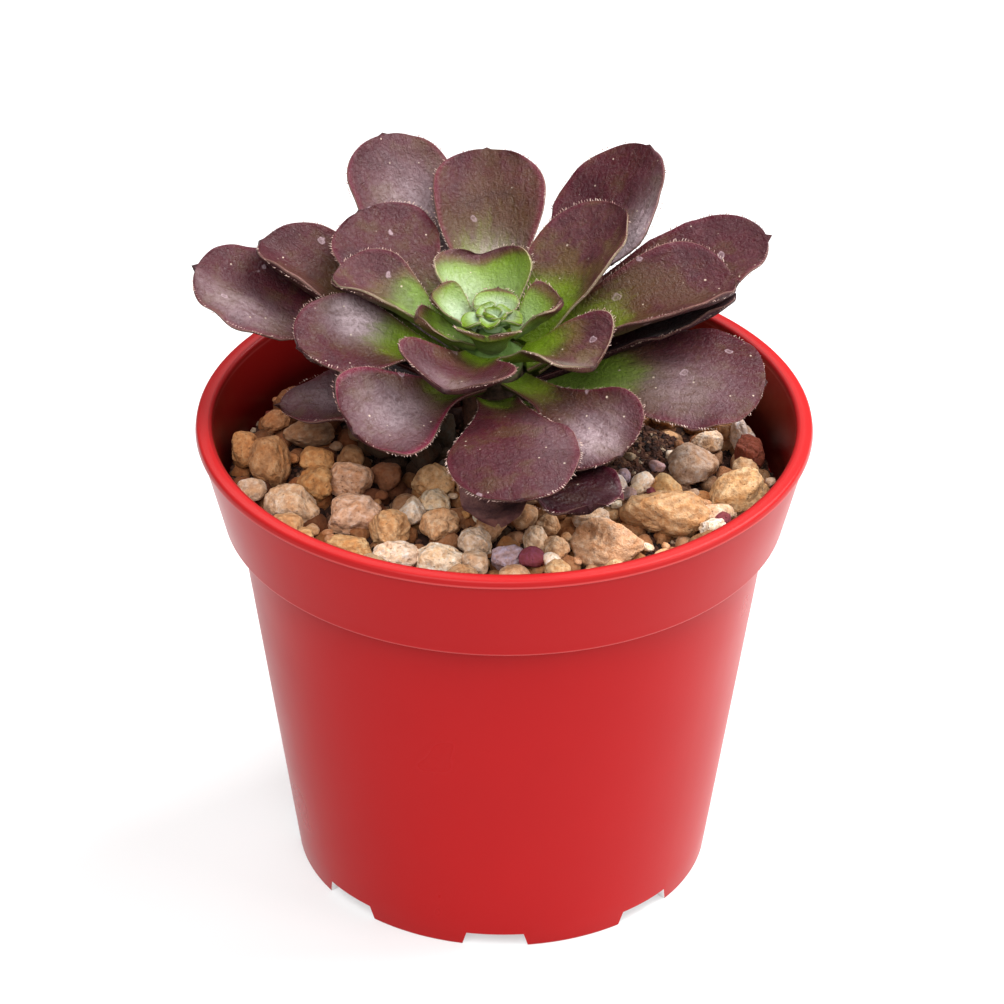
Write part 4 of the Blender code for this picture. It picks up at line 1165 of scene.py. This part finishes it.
leaf("leaf_far_left", "leaf_purple", 168, 0.0516, 0.1066, 0.0212, 0.0894, 22, fold=(30, 8, 3),
     roll=9, waist=0.22, crease=3, mucro=0.0009, painted_sheen=(0.36, 0.80, -0.5, 0.20, 0.40))
leaf("leaf_front", "leaf_purple", -84, 0.0455, 0.0952, 0.0222, 0.0902, 27, fold=(30, -8, -14),
     roll=-6, waist=0.32, shoulder=0.68, swell=2.4, square=2.2, crease=2, green=0.22, soft=0.25,
     painted_sheen=(0.12, 0.64, -0.65, 0.22, 0.40))
leaf("leaf_far_right", "leaf_purple", 21, 0.0500, 0.1092, 0.0190, 0.0928, 20, fold=(30, 10, 8),
     roll=-12, sway=0.0062, waist=0.54, swell=2.0, crease=3, mucro=0.0010, green=0.44, soft=0.8)
leaf("leaf_back_middle", "leaf_purple", 92, 0.0365, 0.1160, 0.0200, 0.0924, 34, fold=(30, 30, 15),
     waist=0.42, shoulder=0.76, swell=2.0, square=2.6, green=0.60, soft=0.90, crimson=0.6,
     painted_sheen=(1.45, 0.36, 0.1, 0.15, 0.55))
leaf("leaf_upper_left", "leaf_purple", 157, 0.0430, 0.1086, 0.0200, 0.0921, 17, fold=(30, 32, 25),
     waist=0.25, crease=12, green=0.56, soft=0.9, crimson=0.2)
leaf("leaf_front_left", "leaf_purple", -131, 0.0345, 0.0962, 0.0196, 0.0922, 16,
     fold=(30, 22, 15), roll=26, waist=0.34, shoulder=0.80, swell=1.8, square=2.8, crease=5,
     green=0.34, soft=0.55, crimson=1.0, painted_sheen=(0.55, 0.68, 0.0, 0.22, 0.60))
leaf("leaf_front_right", "leaf_purple", -49, 0.0325, 0.0912, 0.0186, 0.0932, 4, fold=(30, 16, 10),
     roll=-20, waist=0.31, crease=8, green=0.36, soft=0.70, painted_sheen=(0.60, 0.78, 0.1, 0.20, 0.55))

# middle ring
leaf("leaf_upper_right", "leaf_purple", 8, 0.0412, 0.1071, 0.0218, 0.0949, 22, fold=(30, 38, 30),
     roll=-6, waist=0.60, swell=2.0, crease=12, mucro=0.0010, green=0.48, soft=0.85)
leaf("leaf_mid_back_left", "leaf_purple", 135, 0.0325, 0.1110, 0.0206, 0.0951, 27,
     fold=(30, 12, 6), roll=6, waist=0.25, shoulder=0.76, square=2.6, crease=1, green=0.42,
     soft=0.55)
leaf("leaf_mid_left", "leaf_purple", -164, 0.0335, 0.1026, 0.0178, 0.0945, 28, fold=(30, 18, 12),
     roll=20, sway=-0.0050, waist=0.32, shoulder=0.64, swell=1.8, square=2.2, root_r=0.0060,
     mucro=0.0008, green=0.52, soft=0.50, painted_sheen=(1.30, 0.60, 0.50, 0.13, 0.42))
leaf("leaf_inner_front_right", "leaf_green", -42, 0.0226, 0.1026, 0.0200, 0.0982, 25,
     fold=(30, 30, 30), roll=-5, waist=0.34, shoulder=0.80, swell=1.4, crease=18, root_r=0.0052,
     green=0.52, soft=0.42, swells=0.4, painted_sheen=(0.22, 0.92, 0.5, 0.14, 0.50))
leaf("leaf_inner_left", "leaf_green", 166, 0.0278, 0.1074, 0.0176, 0.0974, 33, fold=(30, 32, 18),
     waist=0.32, shoulder=0.70, swell=1.9, crease=13, green=0.60, soft=0.34, pale=0.35)
leaf("leaf_inner_back_right", "leaf_green", 36, 0.0275, 0.1150, 0.0200, 0.0972, 30,
     fold=(30, 30, 20), sway=0.0025, waist=0.60, shoulder=0.66, swell=1.2, green=0.52, soft=0.36)
leaf("leaf_inner_front", "leaf_purple", -110, 0.0226, 0.1016, 0.0225, 0.0982, 15,
     fold=(30, 38, 32), roll=5, waist=0.30, swell=1.5, crease=8, root_r=0.0052, green=0.36,
     soft=0.5, swells=0.5, painted_sheen=(0.22, 0.88, 0.0, 0.16, 0.60))

# heart
leaf("leaf_heart_back", "leaf_green", 99, 0.0178, 0.1068, 0.0200, 0.0988, 28, fold=(35, 46, 38),
     waist=0.44, shoulder=0.60, swell=1.2, square=2.1, root_r=0.0038, crease=10, green=0.86,
     soft=0.30, pale=0.55, crimson=0.2, notch=0.0013, painted_sheen=(0.50, 0.50, -0.50, 0.22, 0.45))
# its pale share is partly its young pale green, partly painted light where the inner leaves shade it
leaf("leaf_heart_left_outer", "leaf_green", -163, 0.0132, 0.1054, 0.0096, 0.0990, 20,
     fold=(35, 25, 20), waist=0.38, swell=1.4, root_r=0.0035, crease=8, green=0.92, soft=0.40,
     pale=0.3, crimson=0.3)
leaf("leaf_heart_left_inner", "leaf_green", 166, 0.0108, 0.1062, 0.0104, 0.1006, 28,
     fold=(35, 30, 25), waist=0.42, swell=1.1, root_r=0.0028, crease=10, green=0.98, soft=0.35,
     pale=1.3, crimson=0.3, painted_sheen=(0.50, 0.60, 0.0, 0.25, 0.50))
leaf("leaf_heart_right", "leaf_green", 8, 0.0114, 0.1060, 0.0120, 0.1003, 26, fold=(35, 35, 30),
     waist=0.38, swell=1.2, root_r=0.0032, crease=14, green=0.86, soft=0.4, pale=0.6, crimson=0.3)
leaf("leaf_heart_front", "leaf_green", -96, 0.0092, 0.1048, 0.0112, 0.0994, 56, fold=(35, 25, 20),
     waist=0.50, swell=1.1, square=2.8, root_r=0.0033, crease=2, green=1.08, soft=0.3, pale=0.3,
     crimson=0.2, swells=0.5)
leaf("leaf_heart_inner", "leaf_green", 84, 0.0072, 0.1050, 0.0080, 0.1014, 36, fold=(35, 30, 10),
     waist=0.56, shoulder=0.40, swell=1.0, square=1.8, root_r=0.0025, crease=5,
     thick=(0.0012, 0.0008), green=0.96, soft=0.20, pale=1.5, crimson=0.2,
     painted_sheen=(0.45, 0.50, 0.0, 0.25, 0.60))


# Crown
# The growing tip: a bud of soft pale green leaves, a few millimetres long, that open in a
# spiral of 137.5 degrees round a small cone on the stem.

CROWN_FOOT = STEM_TOP + 0.0003
YOUNG_LEAVES = 9
GOLDEN_TURN = 137.5
young = []
for k in range(YOUNG_LEAVES):
    share = k / (YOUNG_LEAVES - 1)
    young.append(blade(600 + 10 * k, 205 + GOLDEN_TURN * k, 0.0056 - 0.0044 * share,
                       CROWN_FOOT + 0.0018 + 0.0017 * share, 0.0044 - 0.0016 * share,
                       CROWN_FOOT + 0.0012 + 0.0005 * share, 35 + 25 * share,
                       fold=(35, 40, 30), waist=0.50, shoulder=0.60, swell=1.2, root_r=0.0006,
                       mucro=0.0003, thick=(0.0008, 0.0007), rows=(9, 10), across_count=11,
                       swells=0.3, green=1.22))
    margins.append((young[k][4], 0.5))
crown_green = leaf_finish("crown_green", (0.125, 0.060, 0.044), (0.150, 0.135, 0.045), 0.06,
                          GREEN_SHEEN, (0.480, 0.430, 0.300))
crown = leaf_object("crown_bud", young, crown_green, pale=2.2, crimson=0.1)
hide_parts("crown")
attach(crown, "root")
bud_profile = [(radius, CROWN_FOOT + rise) for radius, rise in (
    (0.0, 0.0), (0.0016, 0.0), (0.0018, 0.0006), (0.0015, 0.0012), (0.0010, 0.0020),
    (0.0005, 0.0025), (0.0, 0.0026))]
bud = turned("crown_cone", bud_profile, 36, crown_green, STEM_X, STEM_Y)
point_outwards(bud)
store(bud.data, "pale", [1.0] * len(bud.data.vertices))
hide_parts("crown")
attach(bud, "root")


# Leaf hairs
# Every blade carries a fringe of stiff pale hairs on its margin, up to 0.6 mm long and
# leaning towards the tip of the leaf. They are outgrowths of the skin.

hair_points = []
hair_edges = []
hair_ways = []
hair_sizes = []
for path, scale in margins:
    first = len(hair_points)
    for row, place, outward, forward in path:
        way = outward + 0.55 * forward
        hair_points.append(place)
        hair_ways.append(way / np.linalg.norm(way))
        to_tip = STALK_ROWS + END_ROWS + 1 - row
        hair_sizes.append(scale * min(1.0, 0.25 + row / 16.0, to_tip / 6.0))
    hair_edges += [(first + k, first + k + 1) for k in range(len(path) - 1)]


def hair_tree():
    """Sets a thin spike at even steps along the margin lines."""
    work, given = new_tree("hairs", margins="Geometry", spacing="Float", length="Float",
                           thickness="Float", seed="Int", finish="Material")
    line = work.put("GeometryNodeMeshToCurve", {"Mesh": given["Margins"]}).outputs[0]
    steps = work.put("GeometryNodeResampleCurve", {"Curve": line, "Length": given["Spacing"]},
                     mode="LENGTH")
    spike = work.put("GeometryNodeMeshCone", {
        "Vertices": 4, "Depth": given["Length"], "Radius Bottom": given["Thickness"],
        "Radius Top": 0.00002})
    way = work.put("GeometryNodeInputNamedAttribute", {"Name": "outward"},
                   data_type="FLOAT_VECTOR").outputs[0]
    jitter = work.put("FunctionNodeRandomValue", {
        0: (-0.50, -0.50, -0.50), 1: (0.50, 0.50, 0.50), "Seed": given["Seed"]},
        data_type="FLOAT_VECTOR").outputs[0]
    lean = work.put("ShaderNodeVectorMath", {0: way, 1: jitter}).outputs[0]
    turn = work.put("FunctionNodeAlignRotationToVector", {"Vector": lean}, axis="Z")
    size = work.put("GeometryNodeInputNamedAttribute", {"Name": "hair_size"}, data_type="FLOAT")
    vary = work.put("FunctionNodeRandomValue", {2: 0.15, 3: 1.40, "Seed": 5}, data_type="FLOAT")
    copies = work.put("GeometryNodeInstanceOnPoints", {
        "Points": steps.outputs[0], "Instance": spike.outputs["Mesh"],
        "Rotation": turn.outputs[0], "Scale": work.times(size.outputs[0], vary.outputs[1])})
    return work.end(copies.outputs[0], given["Finish"])


def hair_finish():
    skin = Finish("leaf_hair")
    tint = skin.remap(skin.noise(skin.here(), 300.0), 0.35, 0.65, 0.0, 1.0)
    return skin.close(skin.mix(tint, (0.30, 0.15, 0.13), (0.56, 0.42, 0.36)), 0.5)


hairs = object_from("leaf_hairs", hair_points, hair_edges)
store(hairs.data, "outward", np.array(hair_ways), "FLOAT_VECTOR")
store(hairs.data, "hair_size", hair_sizes)
grow(hairs, hair_tree(), spacing=0.00050, length=0.00044, thickness=0.00009, seed=8,
     finish=hair_finish())
hairs.data.shade_smooth()
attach(hairs, "root")


# Withered leaf
# One of the oldest leaves has dried to a thin brown crinkled scrap. It still clings to the
# stem and droops onto the gravel under the front leaf.

def withered_finish():
    skin = Finish("leaf_withered")
    place = skin.here()
    blotch = skin.noise(place, 380.0, 4.0, 0.65)
    skin.bump(skin.calc("ADD", blotch, skin.noise(place, 1200.0, 4.0, 0.6, 1.0)), 0.0006)
    return skin.close(skin.mix(skin.remap(blotch, 0.35, 0.65, 0.0, 1.0), (0.075, 0.020, 0.024),
                               (0.210, 0.085, 0.070)), 0.8)


scrap = blade(900, -88, 0.0310, 0.0818, 0.0130, 0.0840, -10, fold=(30, 10, -5), waist=0.40,
              shoulder=0.60, swell=1.5, thick=(0.0010, 0.0009), swells=2.6)
withered = leaf_object("withered_blade", [scrap], withered_finish(), crimson=0.0)
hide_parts("leaf_withered")
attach(withered, "root")


# Dry stalk
# A thin dead leaf stalk, almost black, that stands up out of the gravel between the leaves
# on the right.

STALK_TOP = 0.0940
STALK_R = 0.0008
stalk_z = gravel_level(STALK_X, STALK_Y) + 0.0006
stalk_profile = [(0.0, stalk_z), (0.0009, stalk_z), (STALK_R, stalk_z + 0.0010)]
for k in range(1, 22):
    rise = k / 22.0
    stalk_profile.append((STALK_R - 0.0003 * rise + 0.00006 * math.sin(9.0 * rise),
                          stalk_z + 0.0010 + (STALK_TOP - 0.0012 - stalk_z) * rise))
stalk_profile += [(0.00045, STALK_TOP - 0.0002), (0.0, STALK_TOP)]


def stalk_finish():
    skin = Finish("dry_stalk")
    grain = skin.noise(skin.here(), 1500.0, 4.0, 0.6)
    skin.bump(grain, 0.0003)
    return skin.close(skin.mix(skin.remap(grain, 0.35, 0.65, 0.0, 1.0), (0.020, 0.007, 0.010),
                               (0.090, 0.035, 0.035)), 0.65)


stalk = turned("dead_stalk", stalk_profile, 28, stalk_finish(), STALK_X, STALK_Y)
# the stalk is a little bent
for vert in stalk.data.vertices:
    rise = (vert.co.z - stalk_z) / (STALK_TOP - stalk_z)
    vert.co.x += 0.0003 * rise + 0.00025 * math.sin(5.0 * rise)
    vert.co.y -= 0.0010 * rise
point_outwards(stalk)
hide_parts("dry_stalk")
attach(stalk, "root")


# Floor and light
# The pot stands on a wide white sheet. A large softbox hangs over it at the right, another
# over the camera, and two weaker ones stand behind it and at the right.

FLOOR_HALF = 3.0
FLOOR_GREYS = ((0.42, 0.42, 0.42), (0.44, 0.44, 0.44))
WHITE = (1.0, 1.0, 1.0, 1.0)
FLOOR_GLOW = 0.44
ROOM_GLOW = 0.16


def white_floor():
    skin = Finish("white_sheet")
    skin.feed(skin.shader, {"Emission Color": WHITE, "Emission Strength": FLOOR_GLOW})
    return skin.close(skin.mix(skin.noise(skin.here(), 3.0), *FLOOR_GREYS), 0.9, 0.05)


floor = object_from("floor_sheet", [(x * FLOOR_HALF, y * FLOOR_HALF, 0.0) for x, y in (
    (-1, -1), (1, -1), (1, 1), (-1, 1))], (), [(0, 1, 2, 3)])
floor.data.materials.append(white_floor())

room = bpy.data.worlds.new("white_room")
room.use_nodes = True
room.node_tree.nodes["Background"].inputs["Color"].default_value = WHITE
room.node_tree.nodes["Background"].inputs["Strength"].default_value = ROOM_GLOW
bpy.context.scene.world = room


def softbox(name, place, aim_z, width, height, power):
    """An area lamp at place that faces the height aim_z on the pot's axis."""
    lamp = bpy.data.lights.new(name, "AREA")
    lamp.shape = "RECTANGLE"
    lamp.size = width
    lamp.size_y = height
    lamp.energy = power
    obj = bpy.data.objects.new(name, lamp)
    obj.location = place
    way = Vector((0.0, 0.0, aim_z)) - Vector(place)
    obj.rotation_euler = way.to_track_quat("-Z", "Y").to_euler()
    bpy.context.scene.collection.objects.link(obj)


softbox("softbox_over", (0.52, 0.20, 0.81), 0.09, 0.70, 0.70, 18.2)
softbox("softbox_behind", (-0.12, 0.60, 0.78), 0.09, 0.70, 0.50, 3.4)
softbox("softbox_front", (-0.18, -0.70, 0.94), 0.08, 0.80, 0.80, 15.8)
softbox("softbox_right", (0.80, -0.35, 0.42), 0.06, 0.40, 0.60, 4.5)


# Camera
# A long lens looks down on the pot at 32 degrees from straight in front of it. The colours
# are shown as they are, with no film curve.

CAMERA_REACH = 0.859
CAMERA_DROP = math.radians(31.7)
CAMERA_ROLL = math.radians(0.33)
LOOK_AT = Vector((-0.0003, 0.0, 0.0679))
FOCAL_PIXELS = 5000.0
PICTURE_PIXELS = 1004.0
SENSOR_WIDTH = 36.0

forward = Vector((0.0, math.cos(CAMERA_DROP), -math.sin(CAMERA_DROP)))
upright = Vector((0.0, math.sin(CAMERA_DROP), math.cos(CAMERA_DROP)))
across = Vector((1.0, 0.0, 0.0))
right = across * math.cos(CAMERA_ROLL) + upright * math.sin(CAMERA_ROLL)
top = upright * math.cos(CAMERA_ROLL) - across * math.sin(CAMERA_ROLL)
lens = bpy.data.cameras.new("long_lens")
lens.sensor_width = SENSOR_WIDTH
lens.lens = FOCAL_PIXELS / PICTURE_PIXELS * SENSOR_WIDTH
lens.clip_start = 0.05
camera = bpy.data.objects.new("camera", lens)
camera.matrix_world = Matrix.Translation(LOOK_AT - forward * CAMERA_REACH) @ Matrix(
    (right, top, -forward)).transposed().to_4x4()
bpy.context.scene.collection.objects.link(camera)
bpy.context.scene.camera = camera
bpy.context.scene.view_settings.view_transform = "Standard"
